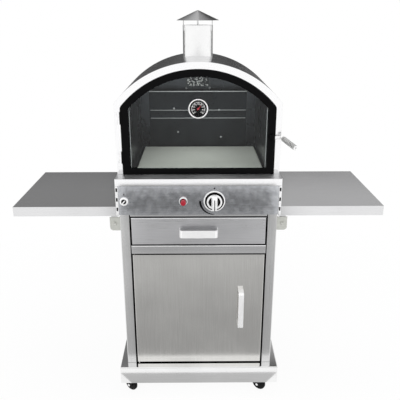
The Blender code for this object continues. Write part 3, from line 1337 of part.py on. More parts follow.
def make_latch(door):
    """A lever on the door's right stile: boss, arm and a bent rod with a coil grip between two collars."""
    pivot = Vector((LATCH_X, OVEN_DOOR_FRONT, LATCH_Z))
    axis = axis_at("latch_axis", pivot, door)
    face = OVEN_DOOR_FRONT - GAP
    front = face - LATCH_BOSS_H
    boss = ((pivot.x, face, pivot.z), (pivot.x, front, pivot.z))
    lever = rod("latch_lever", *boss, LATCH_BOSS_R, bright(), ROUND_FACES)
    pin = ((pivot.x, face - LATCH_BOSS_H / 2, pivot.z), (pivot.x, face + LATCH_PIN_L, pivot.z))
    weld(lever, rod("pin", *pin, LATCH_PIN_R))
    arm_end = pivot.x + LATCH_ARM_L
    half = LATCH_ARM_H / 2
    weld(lever, block("arm", pivot.x, arm_end, front, front + LATCH_ARM_T, pivot.z - half, pivot.z + half))
    start = Vector((arm_end - LATCH_ROD_R, front + LATCH_ARM_T / 2, pivot.z))
    bend = pivot + Vector((LATCH_BEND[0], -LATCH_BEND[1], LATCH_BEND[2]))
    tip = pivot + Vector((LATCH_TIP[0], -LATCH_TIP[1], LATCH_TIP[2]))
    weld(lever, tube("rod", [start, bend, tip], LATCH_ROD_R, PIPE_RESOLUTION))
    along = (tip - bend).normalized()
    first = bend + along * COIL_COLLAR_T
    last = tip - along * COIL_COLLAR_T
    weld(lever, rod("collar", bend, first, COIL_COLLAR_R, None, ROUND_FACES))
    weld(lever, rod("collar", last, tip, COIL_COLLAR_R, None, ROUND_FACES))
    room = COIL_WIRE_R + GAP
    points = helix(first + along * room, last - along * room, COIL_R, COIL_TURNS, COIL_POINTS)
    coil = tube("latch_coil", points, COIL_WIRE_R, 1, bright())
    print("latch_coil least gap", round(least_gap(points, COIL_POINTS) - 2 * COIL_WIRE_R, 5))
    hang(axis, smooth(lever), smooth(coil))


def helix(start, end, radius, turns, per_turn):
    """Points of a coil round the line from start to end."""
    line = end - start
    along = line.normalized()
    across = along.cross(Vector((0, 0, 1))).normalized()
    other = along.cross(across)
    points = []
    for i in range(turns * per_turn + 1):
        a = math.tau * i / per_turn
        centre = start + line * (i / (turns * per_turn))
        points.append(centre + across * radius * math.cos(a) + other * radius * math.sin(a))
    return points


def least_gap(points, per_turn):
    """The least distance between points of a coil that are at least half a turn apart."""
    skip = per_turn // 2
    count = len(points)
    return min((points[i] - points[j]).length for i in range(count) for j in range(i + skip, count))


def main():
    for old in list(bpy.data.objects):
        bpy.data.objects.remove(old)
    make_base_tray()
    make_casters()
    make_cabinet()
    make_drawer()
    make_cabinet_door()
    make_console()
    make_control_panel()
    make_knob_bezel()
    make_knob()
    make_igniter()
    make_lamp_switch()
    make_gas_valve()
    make_gas_feed()
    make_shelves()
    make_hood()
    make_surround()
    make_liner()
    make_hearth()
    make_rear_baffle()
    make_burner()
    make_oven_lamp()
    make_chimney()
    make_oven_door()


main()
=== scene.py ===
import json
import math

import bmesh
import bpy
from mathutils import Matrix, Vector


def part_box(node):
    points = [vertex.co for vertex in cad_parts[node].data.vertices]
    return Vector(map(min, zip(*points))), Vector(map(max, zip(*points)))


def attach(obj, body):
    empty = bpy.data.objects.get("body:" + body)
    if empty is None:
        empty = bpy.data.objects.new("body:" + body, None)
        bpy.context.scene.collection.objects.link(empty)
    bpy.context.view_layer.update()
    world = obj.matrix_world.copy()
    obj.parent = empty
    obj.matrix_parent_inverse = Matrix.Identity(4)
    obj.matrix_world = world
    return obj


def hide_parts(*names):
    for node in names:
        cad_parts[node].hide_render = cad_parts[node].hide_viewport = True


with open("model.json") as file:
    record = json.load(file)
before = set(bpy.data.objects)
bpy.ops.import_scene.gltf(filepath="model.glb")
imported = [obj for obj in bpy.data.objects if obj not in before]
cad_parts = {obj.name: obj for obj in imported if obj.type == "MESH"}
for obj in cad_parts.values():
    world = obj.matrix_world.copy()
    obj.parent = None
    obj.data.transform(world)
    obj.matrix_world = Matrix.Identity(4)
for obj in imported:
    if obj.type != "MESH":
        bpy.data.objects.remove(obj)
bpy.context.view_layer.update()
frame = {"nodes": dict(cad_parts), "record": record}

# The photographer's place: a camera at head height two metres in front of the oven, which looks
# down on it by about 20 degrees, so that the shelf tops and the stone behind the glass both show.
CAMERA_PLACE = Vector((-0.0052, -2.04, 1.5219))
CAMERA_DOWN = math.radians(19.661)
CAMERA_TO_RIGHT = math.radians(0.334)
CAMERA_ROLL = math.radians(0.096)
CAMERA_LENS_MM = 47.23


def linked(name, data):
    """An object that holds this data, in the scene."""
    made = bpy.data.objects.new(name, data)
    bpy.context.scene.collection.objects.link(made)
    return made


level = Vector((math.cos(CAMERA_TO_RIGHT), -math.sin(CAMERA_TO_RIGHT), 0))
ahead = Vector((math.sin(CAMERA_TO_RIGHT) * math.cos(CAMERA_DOWN),
                math.cos(CAMERA_TO_RIGHT) * math.cos(CAMERA_DOWN), -math.sin(CAMERA_DOWN)))
under = ahead.cross(level)
across = level * math.cos(CAMERA_ROLL) + under * math.sin(CAMERA_ROLL)
down = under * math.cos(CAMERA_ROLL) - level * math.sin(CAMERA_ROLL)
camera_data = bpy.data.cameras.new("camera")
camera_data.lens = CAMERA_LENS_MM
camera = linked("camera", camera_data)
turn = Matrix((across, -down, -ahead)).transposed().to_4x4()
camera.matrix_world = Matrix.Translation(CAMERA_PLACE) @ turn
bpy.context.scene.camera = camera
bpy.context.scene.view_settings.view_transform = "Standard"


# The studio is a white sweep: a white floor and world, and soft lamps above. Grey cards in front of the
# oven and behind it are seen only as reflections, and give the steel the greys that it shows.
def linear(hex_colour):
    """A colour written as sRGB hex, as the linear RGBA that a shader takes."""
    channels = [int(hex_colour[i:i + 2], 16) / 255 for i in (1, 3, 5)]
    return (*[c / 12.92 if c <= 0.04045 else ((c + 0.055) / 1.055) ** 2.4 for c in channels], 1)


def node(tree, kind, links=(), **settings):
    """Adds a node with its settings; links pairs its inputs with what feeds them, a socket or a node."""
    made = tree.nodes.new(kind)
    for key, value in settings.items():
        if key.startswith("in_"):
            wanted = key[3:].replace("_", " ").lower()
            next(s for s in made.inputs if s.name.lower() == wanted and s.enabled).default_value = value
        else:
            setattr(made, key, value)
    for target, source in links:
        tree.links.new(getattr(source, "outputs", [source])[0], made.inputs[target])
    return made


def background_ray(tree):
    """A socket that is 1 for the rays that show a background, straight, mirrored or through glass."""
    rays = node(tree, "ShaderNodeLightPath")
    shown = rays.outputs["Is Camera Ray"]
    for kind in ("Is Glossy Ray", "Is Transmission Ray"):
        either = node(tree, "ShaderNodeMath", [(0, shown), (1, rays.outputs[kind])], operation="MAXIMUM")
        shown = either.outputs[0]
    return shown


def flat_sheet(name, corners):
    """One face with an empty material: returns the object, the material's tree and the place in it."""
    mesh = bpy.data.meshes.new(name)
    mesh.from_pydata(corners, [], [(0, 1, 2, 3)])
    paint = bpy.data.materials.new(name)
    paint.use_nodes = True
    paint.node_tree.nodes.clear()
    mesh.materials.append(paint)
    place = node(paint.node_tree, "ShaderNodeTexCoord").outputs["Object"]
    return linked(name, mesh), paint.node_tree, place


def stage_card(name, corners, stops, axis):
    """A flat card, seen only in reflections, whose brightness follows stops along one axis."""
    card, tree, place = flat_sheet(name, corners)
    split = node(tree, "ShaderNodeSeparateXYZ", [("Vector", place)])
    low, high = stops[0][0], stops[-1][0]
    share = node(tree, "ShaderNodeMapRange", [("Value", split.outputs[axis])], in_From_Min=low,
                 in_From_Max=high)
    ramp = node(tree, "ShaderNodeValToRGB", [("Fac", share)])
    while len(ramp.color_ramp.elements) < len(stops):
        ramp.color_ramp.elements.new(0.5)
    for element, (at, value) in zip(ramp.color_ramp.elements, stops):
        element.position = (at - low) / (high - low)
        element.color = (value, value, value, 1)
    glow = node(tree, "ShaderNodeEmission", [("Color", ramp)])
    node(tree, "ShaderNodeOutputMaterial", [("Surface", glow)])
    card.visible_camera = False
    card.visible_diffuse = False
    card.visible_transmission = False
    card.visible_shadow = False


FLOOR_REACH = 9.0
SHADOW_REACH = 0.8
SHADOW_END = 2.0
SHADOW_SHARE = 0.07
sweep_corners = [(x * FLOOR_REACH, y * FLOOR_REACH, 0) for x, y in ((-1, -1), (1, -1), (1, 1), (-1, 1))]
floor, paint_tree, floor_place = flat_sheet("floor", sweep_corners)
away = node(paint_tree, "ShaderNodeVectorMath", [(0, floor_place)], operation="LENGTH")
bare = node(paint_tree, "ShaderNodeMapRange", [("Value", away.outputs["Value"])], in_From_Min=SHADOW_REACH,
            in_From_Max=SHADOW_END, in_To_Min=1 - SHADOW_SHARE, in_To_Max=1.0)
washed = node(paint_tree, "ShaderNodeMath", [(0, bare), (1, background_ray(paint_tree))],
              operation="MULTIPLY")
matt_white = node(paint_tree, "ShaderNodeBsdfDiffuse", in_Color=linear("#F4F4F4"))
plain_white = node(paint_tree, "ShaderNodeEmission", in_Color=(1, 1, 1, 1))
sweep = node(paint_tree, "ShaderNodeMixShader", [(0, washed), (1, matt_white), (2, plain_white)])
node(paint_tree, "ShaderNodeOutputMaterial", [("Surface", sweep)])

# A ray from the camera to a front mirrors on towards the floor, so a card that one front shows widens
# with its distance. The opening, the posts, the control panel and the tray's skirt have a card each;
# what lies between and beyond them mirrors the white floor.
FRONT_Y = -0.2
CARD_NEAR = -0.447
PANEL_NEAR = -2.33
PANEL_FAR = -3.3
OPENING_HALF_W = 0.2575
PANEL_HALF_W = 0.2850
POST_HALF_W = 0.3250
CARD_LIFT = 0.003


def fan(half_w, y):
    """Where a ray mirrored in the fronts at half_w meets the floor at y."""
    return half_w * (1 + (FRONT_Y - y) / (FRONT_Y - CAMERA_PLACE.y))


def floor_card(name, far, near, stops):
    """A card just over the floor, from its left and right ends far off to those near the oven."""
    corners = [(far[0], stops[0][0]), (far[1], stops[0][0]), (near[1], stops[-1][0]),
               (near[0], stops[-1][0])]
    stage_card(name, [(x, y, CARD_LIFT) for x, y in corners], stops, "Y")


OPENING_STOPS = ((PANEL_NEAR, 0.52), (-1.76, 0.52), (-1.70, 0.45), (-1.57, 0.45), (-1.52, 0.58),
                 (-1.3, 0.53), (-0.86, 0.42), (-0.50, 0.405), (CARD_NEAR, 0.405))
PANEL_STOPS = ((PANEL_FAR, 1.0), (-3.09, 1.0), (-3.06, 0.20), (-2.6, 0.175), (PANEL_NEAR, 0.20))
LEFT_POST_STOPS = ((PANEL_NEAR, 0.64), (-1.5, 0.64), (-1.3, 0.62), (-0.86, 0.55), (CARD_NEAR, 0.50))
RIGHT_POST_STOPS = ((PANEL_NEAR, 0.55), (-1.5, 0.55), (-1.3, 0.53), (CARD_NEAR, 0.48))
FRONT_CARDS = (("opening_card", -OPENING_HALF_W, OPENING_HALF_W, OPENING_STOPS),
               ("panel_card", -PANEL_HALF_W, PANEL_HALF_W, PANEL_STOPS),
               ("post_card_left", -POST_HALF_W, -OPENING_HALF_W, LEFT_POST_STOPS),
               ("post_card_right", OPENING_HALF_W, POST_HALF_W, RIGHT_POST_STOPS))
for card_name, left, right, card_stops in FRONT_CARDS:
    far_ends, near_ends = ((fan(left, stop[0]), fan(right, stop[0]))
                           for stop in (card_stops[0], card_stops[-1]))
    floor_card(card_name, far_ends, near_ends, card_stops)
SKIRT_STOPS = ((-0.388, 0.52), (-0.300, 0.52))
SKIRT_TOP_HALF_W = 0.350
SKIRT_FOOT_HALF_W = 0.278
floor_card("skirt_card", (-SKIRT_TOP_HALF_W, SKIRT_TOP_HALF_W), (-SKIRT_FOOT_HALF_W, SKIRT_FOOT_HALF_W),
           SKIRT_STOPS)

BACK_Y = 3.0
BACK_HALF_W = 5.0
MIDDLE_HALF_W = 0.78
CAP_SIDE = 0.12
MIDDLE_STOPS = ((0.0, 0.05), (1.5, 0.07), (1.62, 0.12), (1.8, 0.14), (2.6, 0.14))
LEFT_STOPS = ((0.0, 0.05), (1.5, 0.18), (1.60, 0.27), (1.85, 0.39), (2.15, 0.42), (2.3, 0.20), (2.6, 0.14))
RIGHT_STOPS = ((0.0, 0.05), (1.5, 0.28), (1.60, 0.40), (1.85, 0.68), (2.15, 0.94), (2.3, 0.40), (2.6, 0.14))
BACK_CARDS = (("back_card", -MIDDLE_HALF_W, MIDDLE_HALF_W, MIDDLE_STOPS),
              ("back_card_left", -BACK_HALF_W, -MIDDLE_HALF_W, LEFT_STOPS),
              ("back_card_right", MIDDLE_HALF_W, BACK_HALF_W, RIGHT_STOPS),
              ("high_card_left", -BACK_HALF_W, CAP_SIDE, ((2.6, 0.20), (3.4, 0.28), (5.0, 0.60),
                                                          (6.0, 1.0))),
              ("high_card_right", CAP_SIDE, BACK_HALF_W, ((2.6, 0.06), (3.4, 0.10), (5.0, 0.40),
                                                          (6.0, 1.0))))
for card_name, left, right, card_stops in BACK_CARDS:
    low, high = card_stops[0][0], card_stops[-1][0]
    card_corners = [(x, BACK_Y, z) for x, z in ((left, low), (right, low), (right, high), (left, high))]
    stage_card(card_name, card_corners, card_stops, "Z")

WORLD_LIGHT = 0.75
world = bpy.data.worlds.new("studio")
world.use_nodes = True
sky = world.node_tree
sky.nodes.clear()
strength = node(sky, "ShaderNodeMapRange", [("Value", background_ray(sky))], in_To_Min=WORLD_LIGHT,
                in_To_Max=1.0)
white = node(sky, "ShaderNodeBackground", [("Strength", strength)], in_Color=(1, 1, 1, 1))
node(sky, "ShaderNodeOutputWorld", [("Surface", white)])
bpy.context.scene.world = world

# Each lamp has its place, what it is aimed at, its side in metres and its watts. The weak one stands for
# the oven's own lamp.
LAMPS = (("lamp_front", (-0.9, -2.6, 2.3), (0, 0, 0.95), 1.6, 24),
         ("lamp_right", (2.4, -1.4, 2.2), (0, 0, 0.8), 1.8, 16),
         ("lamp_top", (0, 0.2, 3.2), (0, 0, 0), 2.4, 20),
         ("lamp_in_oven", (0, 0.03, 1.27), (0, -0.02, 0.97), 0.24, 0.45))
for lamp_name, lamp_place, lamp_target, lamp_side, lamp_watts in LAMPS:
    lamp_data = bpy.data.lights.new(lamp_name, "AREA")
    lamp_data.size = lamp_side
    lamp_data.energy = lamp_watts
    lamp = linked(lamp_name, lamp_data)
    lamp.location = lamp_place
    lamp.rotation_euler = (Vector(lamp_target) - Vector(lamp_place)).to_track_quat("-Z", "Y").to_euler()
    lamp.visible_glossy = False
    lamp.visible_camera = False


# The base tray is a pan of 2 mm stainless sheet, folded down all round, with two channels and four
# caster plates welded under it. Its sheet is brushed along the front and has a soft folded edge.
SAME_PLACE = 0.00005
WELD_DISTANCE = 0.00002
FLAT_ANGLE = math.radians(0.6)
SHARP_ANGLE = math.radians(32)
FOLD_STEPS = 4
FORWARD = (0, -1, 0)
UPWARD = (0, 0, 1)


def plain(piece):
    """Turns a piece's modifiers, or a curve, into a plain mesh."""
    bpy.context.view_layer.update()
    graph = bpy.context.evaluated_depsgraph_get()
    mesh = bpy.data.meshes.new_from_object(piece.evaluated_get(graph))
    if piece.type == "MESH":
        piece.modifiers.clear()
        piece.data = mesh
        return piece
    name = piece.name
    bpy.data.objects.remove(piece)
    return linked(name, mesh)


def shaded(piece):
    """Shades a piece smooth over its bends, while its flat faces stay flat and mirror like sheet."""
    piece.data.shade_smooth()
    piece.data.set_sharp_from_angle(angle=SHARP_ANGLE)
    weights = piece.modifiers.new("flat_faces", "WEIGHTED_NORMAL")
    weights.keep_sharp = True
    return plain(piece)


def softened(piece, edge, segments=2, over=35):
    """Rounds the edges of a piece that bend by more than some degrees."""
    rounding = piece.modifiers.new("edges", "BEVEL")
    rounding.width = edge
    rounding.segments = segments
    rounding.limit_method = "ANGLE"
    rounding.angle_limit = math.radians(over)
    return shaded(plain(piece))


def made_of(name, shape):
    """An object made of a bmesh, which is freed."""
    mesh = bpy.data.meshes.new(name)
    shape.to_mesh(mesh)
    shape.free()
    return linked(name, mesh)


def folded_edges(shape, name, face):
    """The edges round a node's outermost face along face, where its sheet is bent back."""
    outside = Vector(face)
    front = max(vert.co.dot(outside) for vert in shape.verts)
    on_front = {vert for vert in shape.verts if front - vert.co.dot(outside) < SAME_PLACE}
    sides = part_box(name)
    bent = []
    for line in shape.edges:
        start, end = (vert.co for vert in line.verts)
        rim = any(abs(start[i] - side[i]) < SAME_PLACE and abs(end[i] - side[i]) < SAME_PLACE
                  for i in range(3) if outside[i] == 0 for side in sides)
        if rim and set(line.verts) <= on_front:
            bent.append(line)
    return bent


def fit(piece, body, finish, slot, *nodes):
    """Gives a finished piece its material, lets it ride on a body and puts it in place of nodes; slot is not
    used.
    """
    piece.data.materials.clear()
    piece.data.materials.append(finish)
    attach(piece, body)
    if nodes:
        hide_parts(*nodes)
    return piece


def refined(name, body, finish, slot, edge, segments=2, fold=0.0, face=FORWARD):
    """Puts a closed copy of a CAD node in the node's place, with its finish on and its edges rounded: by
    fold round its outer face, where a sheet is bent back, and by edge everywhere else."""
    shape = bmesh.new()
    shape.from_mesh(frame["nodes"][name].data)
    bmesh.ops.remove_doubles(shape, verts=shape.verts, dist=WELD_DISTANCE)
    bmesh.ops.dissolve_limit(shape, angle_limit=FLAT_ANGLE, verts=shape.verts, edges=shape.edges)
    if fold:
        bent = folded_edges(shape, name, face)
        bmesh.ops.bevel(shape, geom=bent, offset=fold, segments=FOLD_STEPS, profile=0.5, affect="EDGES")
    piece = made_of(name + "_fine", shape)
    piece = softened(piece, edge, segments, 40) if edge else shaded(piece)
    return fit(piece, body, finish, slot, name)


def new_finish(name, **values):
    """Starts a material: returns it, its shader with these values, its tree and the object's own place."""
    made = bpy.data.materials.new(name)
    made.use_nodes = True
    tree = made.node_tree
    shader = tree.nodes["Principled BSDF"]
    for key, value in values.items():
        shader.inputs[key.replace("_", " ")].default_value = value
    return made, shader, tree, node(tree, "ShaderNodeTexCoord").outputs["Object"]


def noise(tree, place, scale, detail):
    """A soft noise with so many cells in a metre."""
    return node(tree, "ShaderNodeTexNoise", [("Vector", place)], in_Scale=scale,
                in_Detail=detail).outputs["Fac"]


def tinted(tree, pattern, hex_colour, darkest, lightest):
    """A colour that a pattern takes from darkest to lightest times its base."""
    mix = node(tree, "ShaderNodeMix", [(0, pattern)], data_type="RGBA")
    for socket, factor in ((6, darkest), (7, lightest)):
        mix.inputs[socket].default_value = (*[min(1, c * factor) for c in linear(hex_colour)[:3]], 1)
    return mix.outputs[2]


def follow(tree, pattern, socket, low, high):
    """Lets a shader's input follow a pattern, from low to high."""
    span = node(tree, "ShaderNodeMapRange", [("Value", pattern)], in_To_Min=low, in_To_Max=high)
    tree.links.new(span.outputs["Result"], socket)


def raised(tree, shader, pattern, strength, height):
    """Lets a surface rise and fall with a pattern, by a height in metres."""
    bump = node(tree, "ShaderNodeBump", [("Height", pattern)], in_Strength=strength, in_Distance=height)
    tree.links.new(bump.outputs["Normal"], shader.inputs["Normal"])


def brushed_stainless(name, hex_colour, roughness, along="X", depth=0.03, spread=0.07, mottle_mm=200.0):
    """Stainless sheet, brushed with a belt: fine parallel scratches that the eye reads as a soft grain.
    Real scratches are 0.05 mm apart, too fine to show, so the streaks are drawn about a millimetre wide."""
    made, shader, tree, place = new_finish(name, Metallic=1.0)
    fine, long = 1000.0 / STREAK_MM, 1000.0 / RUN_MM
    scale = {"X": (long, fine, fine), "Y": (fine, long, fine), "Z": (fine, fine, long)}[along]
    stretched = node(tree, "ShaderNodeMapping", [("Vector", place)], in_Scale=scale).outputs["Vector"]
    grain = noise(tree, stretched, 1.0, 3.0)
    cloud = noise(tree, place, 1000.0 / mottle_mm, 2.0)
    mixed = node(tree, "ShaderNodeMath", [(0, grain), (1, cloud)], operation="ADD")
    tone = node(tree, "ShaderNodeMapRange", [("Value", mixed)], in_From_Min=0.75, in_From_Max=1.25)
    colour = tinted(tree, tone.outputs["Result"], hex_colour, 1 - spread, 1 + spread)
    tree.links.new(colour, shader.inputs["Base Color"])
    follow(tree, tone.outputs["Result"], shader.inputs["Roughness"], roughness * 0.85, roughness * 1.2)
    raised(tree, shader, grain, depth, 0.0004)
    return made


STREAK_MM = 0.9
RUN_MM = 110.0
TRAY_EDGE = 0.0040
tray_steel = brushed_stainless("brushed_tray_sheet", "#F2F2F2", 0.08)
refined("base_tray", "trolley", tray_steel, "brushed_stainless", 0.0005, fold=TRAY_EDGE, face=UPWARD)


# Four swivel casters: pressed forks, coated black, on a kingpin, and black nylon wheels with a bright
# axle cap on each side of the fork.
def patterned(name, hex_colour, scale, detail, tint, rough=None, relief=None, **values):
    """A finish that follows one noise, or cells where detail is None: tint is its darkest and lightest share
    of the colour, rough the range of its roughness, and relief how strong and how high it stands."""
    made, shader, tree, place = new_finish(name, **values)
    if detail is None:
        cells = node(tree, "ShaderNodeTexVoronoi", [("Vector", place)], in_Scale=scale)
        pattern = cells.outputs["Distance"]
    else:
        pattern = noise(tree, place, scale, detail)
    tree.links.new(tinted(tree, pattern, hex_colour, *tint), shader.inputs["Base Color"])
    if rough:
        follow(tree, pattern, shader.inputs["Roughness"], *rough)
    if relief:
        raised(tree, shader, pattern, *relief)
    return made


def zinc_plate(name, hex_colour, roughness=0.32):
    """Zinc-plated pressed steel: a faint mottled grey with a soft shine."""
    return patterned(name, hex_colour, 180.0, None, (0.92, 1.12), (roughness * 0.8, roughness * 1.3),
                     Metallic=0.9)


def moulded_nylon(name, hex_colour, roughness=0.5, speckle_mm=1.5):
    """Injection-moulded nylon with a fine spark-eroded texture, which breaks up its shine."""
    return patterned(name, hex_colour, 1000.0 / speckle_mm, 2.0, (0.7, 1.5),
                     (roughness - 0.1, roughness + 0.1), (0.2, 0.0003), IOR=1.53, Specular_IOR_Level=0.12)


def outward(name, shape):
    """An object made of a closed bmesh, with its faces turned outward."""
    bmesh.ops.recalc_face_normals(shape, faces=shape.faces)
    return made_of(name, shape)


def aimed(place, direction):
    """Moves what is drawn upright at the origin to a place, standing along a direction."""
    aim = Vector(UPWARD).rotation_difference(Vector(direction)).to_matrix().to_4x4()
    return Matrix.Translation(place) @ aim


def turned(name, profile, place, direction=FORWARD, faces=48):
    """Turns a profile of (radius, height) about a line into a closed shape."""
    shape = bmesh.new()
    turns = [math.tau * i / faces for i in range(faces)]
    rows = []
    for radius, height in profile:
        ring = [(0, 0, height)]
        if radius:
            ring = [(radius * math.cos(a), radius * math.sin(a), height) for a in turns]
        rows.append([shape.verts.new(point) for point in ring])
    for row, following in zip(rows, rows[1:] + rows[:1]):
        for i in range(faces):
            j = (i + 1) % faces
            ring = [row[i % len(row)], row[j % len(row)], following[j % len(following)],
                    following[i % len(following)]]
            ring = list(dict.fromkeys(ring))
            if len(ring) > 2:
                shape.faces.new(ring)
    piece = outward(name, shape)
    piece.data.transform(aimed(place, direction))
    return shaded(piece)


def joined(name, pieces):
    """Puts pieces of one body and material into one mesh."""
    shape = bmesh.new()
    for piece in pieces:
        shape.from_mesh(piece.data)
        bpy.data.objects.remove(piece)
    return shaded(made_of(name, shape))


WHEEL_CAP_R = 0.0058
WHEEL_CAP_H = 0.003
CAP_FOOT = 0.0170
CAP_PROFILE = [(0, 0), (WHEEL_CAP_R, 0), (WHEEL_CAP_R * 0.93, WHEEL_CAP_H * 0.5),
               (WHEEL_CAP_R * 0.6, WHEEL_CAP_H * 0.9), (0, WHEEL_CAP_H)]
fork_black = moulded_nylon("black_coated_fork", "#0E0E0F", 0.40)
wheel_nylon = moulded_nylon("black_nylon_wheel", "#0C0C0D")
cap_steel = zinc_plate("bright_axle_cap", "#F2F2F2", 0.18)
for joint in frame["record"]["behaviour"]["joints"]:
    if not joint["name"].startswith("roll_"):
        continue
    corner = joint["name"].removeprefix("roll_")
    refined(f"caster_fork_{corner}", f"fork_{corner}", fork_black, "black_nylon", 0.0006)
    refined(f"caster_wheel_{corner}", f"wheel_{corner}", wheel_nylon, "black_nylon", 0.0015, 3)
    axle, line = Vector(joint["pos_m"]), Vector(joint["axis"])
    caps = [turned("cap", CAP_PROFILE, axle + line * way * CAP_FOOT, line * way, 24) for way in (-1, 1)]
    fit(joined(f"axle_caps_{corner}", caps), f"fork_{corner}", cap_steel, "bright_stainless")


# The cabinet is folded stainless sheet, 1.5 mm thick: two front posts, two rails between them, side
# sheets and a vented back. Posts are brushed along their length, rails along the front. The folds that
# face a gap carry near-black painted shade, and the upper edges carry a painted highlight.
def refaced(piece, wanted, *finishes):
    """Gives a piece more finishes; wanted tells which one a face takes from its normal, 0 for its own."""
    for finish in finishes:
        piece.data.materials.append(finish)
    for face in piece.data.polygons:
        face.material_index = wanted(face.normal)


def highlight_or_shade_faces(is_rim):
    """Tells a sheet's rounded upper edge, 2, and its returned rims, 1, from the rest: for painted highlight
    and shade.
    """
    return lambda normal: 2 if normal.z > UP_LEAN and normal.y < 0 else int(is_rim(normal))


EDGE_LEAN = 0.93
POST_LEAN = 0.35
CHEEK_LEAN = 0.7
UP_LEAN = 0.12
LEVEL_LEAN = 0.9
POST_EDGE = 0.0028
RAIL_EDGE = 0.0034
PRESSED_EDGE = 0.0042
post_steel = brushed_stainless("brushed_post_sheet", "#DDDDDD", 0.13, "Z")
rail_steel = brushed_stainless("brushed_rail_sheet", "#DADADB", 0.12)
side_steel = brushed_stainless("brushed_side_sheet", "#BCBCBE", 0.20, "Z")
painted_inner_shade = brushed_stainless("unpolished_inner_face", "#38383A", 0.50)
# Near-black painted shade for the folds beside a gap, and a painted highlight for the upper edges.
painted_gap_shade = brushed_stainless("painted_gap_shade_rim", "#0A0A0B", 0.70)
painted_edge_highlight = brushed_stainless("painted_edge_highlight_sheet", "#FBFBFC", 0.15)
runner_zinc = zinc_plate("zinc_plated_runner", "#BFC0C1")
off_front = highlight_or_shade_faces(lambda normal: abs(normal.y) < EDGE_LEAN)
for name, way in (("front_post_left", 1), ("front_post_right", -1)):
    post = refined(name, "trolley", post_steel, "brushed_stainless", 0.0005, fold=POST_EDGE)
    refaced(post, highlight_or_shade_faces(lambda normal: normal.x * way > POST_LEAN), painted_gap_shade, painted_edge_highlight)
for name in ("middle_rail", "top_rail"):
    rail = refined(name, "trolley", rail_steel, "brushed_stainless", 0.0005, fold=RAIL_EDGE)
    refaced(rail, off_front, painted_gap_shade, painted_edge_highlight)
for name in ("cabinet_side_left", "cabinet_side_right", "cabinet_back"):
    refined(name, "trolley", side_steel, "brushed_stainless", 0.0004)
for name in ("drawer_runner_left", "drawer_runner_right"):
    refined(name, "trolley", runner_zinc, "brushed_stainless", 0.0004)


# The cabinet door is one pressed pan, brushed up and down, with a bright bow handle bent from 3 mm
# strip. Its pressed folds carry near-black painted shade beside the gaps, and the top one a painted
# highlight.
def satin_steel(name, hex_colour, roughness, metallic=1.0):
    """Polished metal with a satin finish, whose only texture is a soft cloudiness from handling.
    A bead-blasted surface scatters part of the light, which a metallic value under 1 stands for."""
    return patterned(name, hex_colour, 35.0, 3.0, (0.95, 1.04), (roughness * 0.92, roughness * 1.1),
                     Metallic=metallic)


door_steel = brushed_stainless("brushed_door_pan", "#E4E3E0", 0.12, "Z")
handle_steel = satin_steel("satin_handle_strip", "#F8F8F8", 0.30, 0.4)
door_pan = refined("cabinet_door", "cabinet_door", door_steel, "brushed_stainless", 0.0003,
                   fold=PRESSED_EDGE)
refaced(door_pan, off_front, painted_gap_shade, painted_edge_highlight)
refined("cabinet_door_handle", "cabinet_door", handle_steel, "bright_stainless", 0.0007)


# The drawer has a pressed front like the door's, with the same painted shade and highlight on its folds,
# a plain folded box behind it and the same strip handle, set across.
drawer_steel = brushed_stainless("brushed_drawer_front", "#D0D0D2", 0.30)
box_steel = brushed_stainless("plain_drawer_box", "#B8B8B9", 0.33, "Y")
drawer_pan = refined("drawer_front", "drawer", drawer_steel, "brushed_stainless", 0.0003, fold=PRESSED_EDGE)
refaced(drawer_pan, off_front, painted_gap_shade, painted_edge_highlight)
refined("drawer_box", "drawer", box_steel, "brushed_stainless", 0.0005)
refined("drawer_handle", "drawer", handle_steel, "bright_stainless", 0.0007)


# The console: a top sheet whose front edge folds down as a bright band, darker and rougher on top, and
# two slotted cheeks with dark painted shade inside, and the control panel between them, brushed along the
# front.
band_steel = brushed_stainless("bright_console_sheet", "#FDFDFE", 0.07, depth=0.01, spread=0.02)
# The top face of the console sheet takes a darker, rougher copy of the band's steel.
dull_top_steel = brushed_stainless("dull_console_top_sheet", "#E0E0E1", 0.48)
panel_steel = brushed_stainless("brushed_control_panel", "#D5D7DB", 0.12, spread=0.10, mottle_mm=24.0)
console_sheet = refined("console_top", "trolley", band_steel, "brushed_stainless", 0.0020, 3)
refaced(console_sheet, lambda normal: int(normal.z > LEVEL_LEAN), dull_top_steel)
# Each cheek's inner face takes dark painted shade.
for name, way in (("console_side_left", 1), ("console_side_right", -1)):
    cheek = refined(name, "trolley", band_steel, "brushed_stainless", 0.0007)
    refaced(cheek, highlight_or_shade_faces(lambda normal: normal.x * way > CHEEK_LEAN), painted_inner_shade, band_steel)
refined("control_panel", "trolley", panel_steel, "brushed_stainless", 0.0006)


# The knob is a satin chromed casting: a round disc with a scooped pocket on each side of a bar grip. The
# pockets are filled black as painted shade, and the skirt and a line down the grip are black. It stands in a
# turned bezel, whose gap to the knob is filled by a black ring.
def lofted(name, loops, ring=False):
    """A closed solid through loops of points with equal counts: capped at both ends, or joined in a ring."""
    shape = bmesh.new()
    rows = [[shape.verts.new(point) for point in loop] for loop in loops]
    count = len(rows[0])
    for row, following in zip(rows, rows[1:] + (rows[:1] if ring else [])):
        for i in range(count):
            j = (i + 1) % count
            shape.faces.new((row[i], row[j], following[j], following[i]))
    if not ring:
        shape.faces.new(rows[0])
        shape.faces.new(rows[-1])
    return shaded(outward(name, shape))


def extruded(name, outline, low, high, axis="Z"):
    """A closed solid from an outline of two coordinates, drawn out along an axis. With Y it is (x, z)."""
    order = {"X": lambda u, v, w: (w, u, v), "Y": lambda u, v, w: (u, w, v),
             "Z": lambda u, v, w: (u, v, w)}[axis]
    return lofted(name, [[order(u, v, w) for u, v in outline] for w in (low, high)])


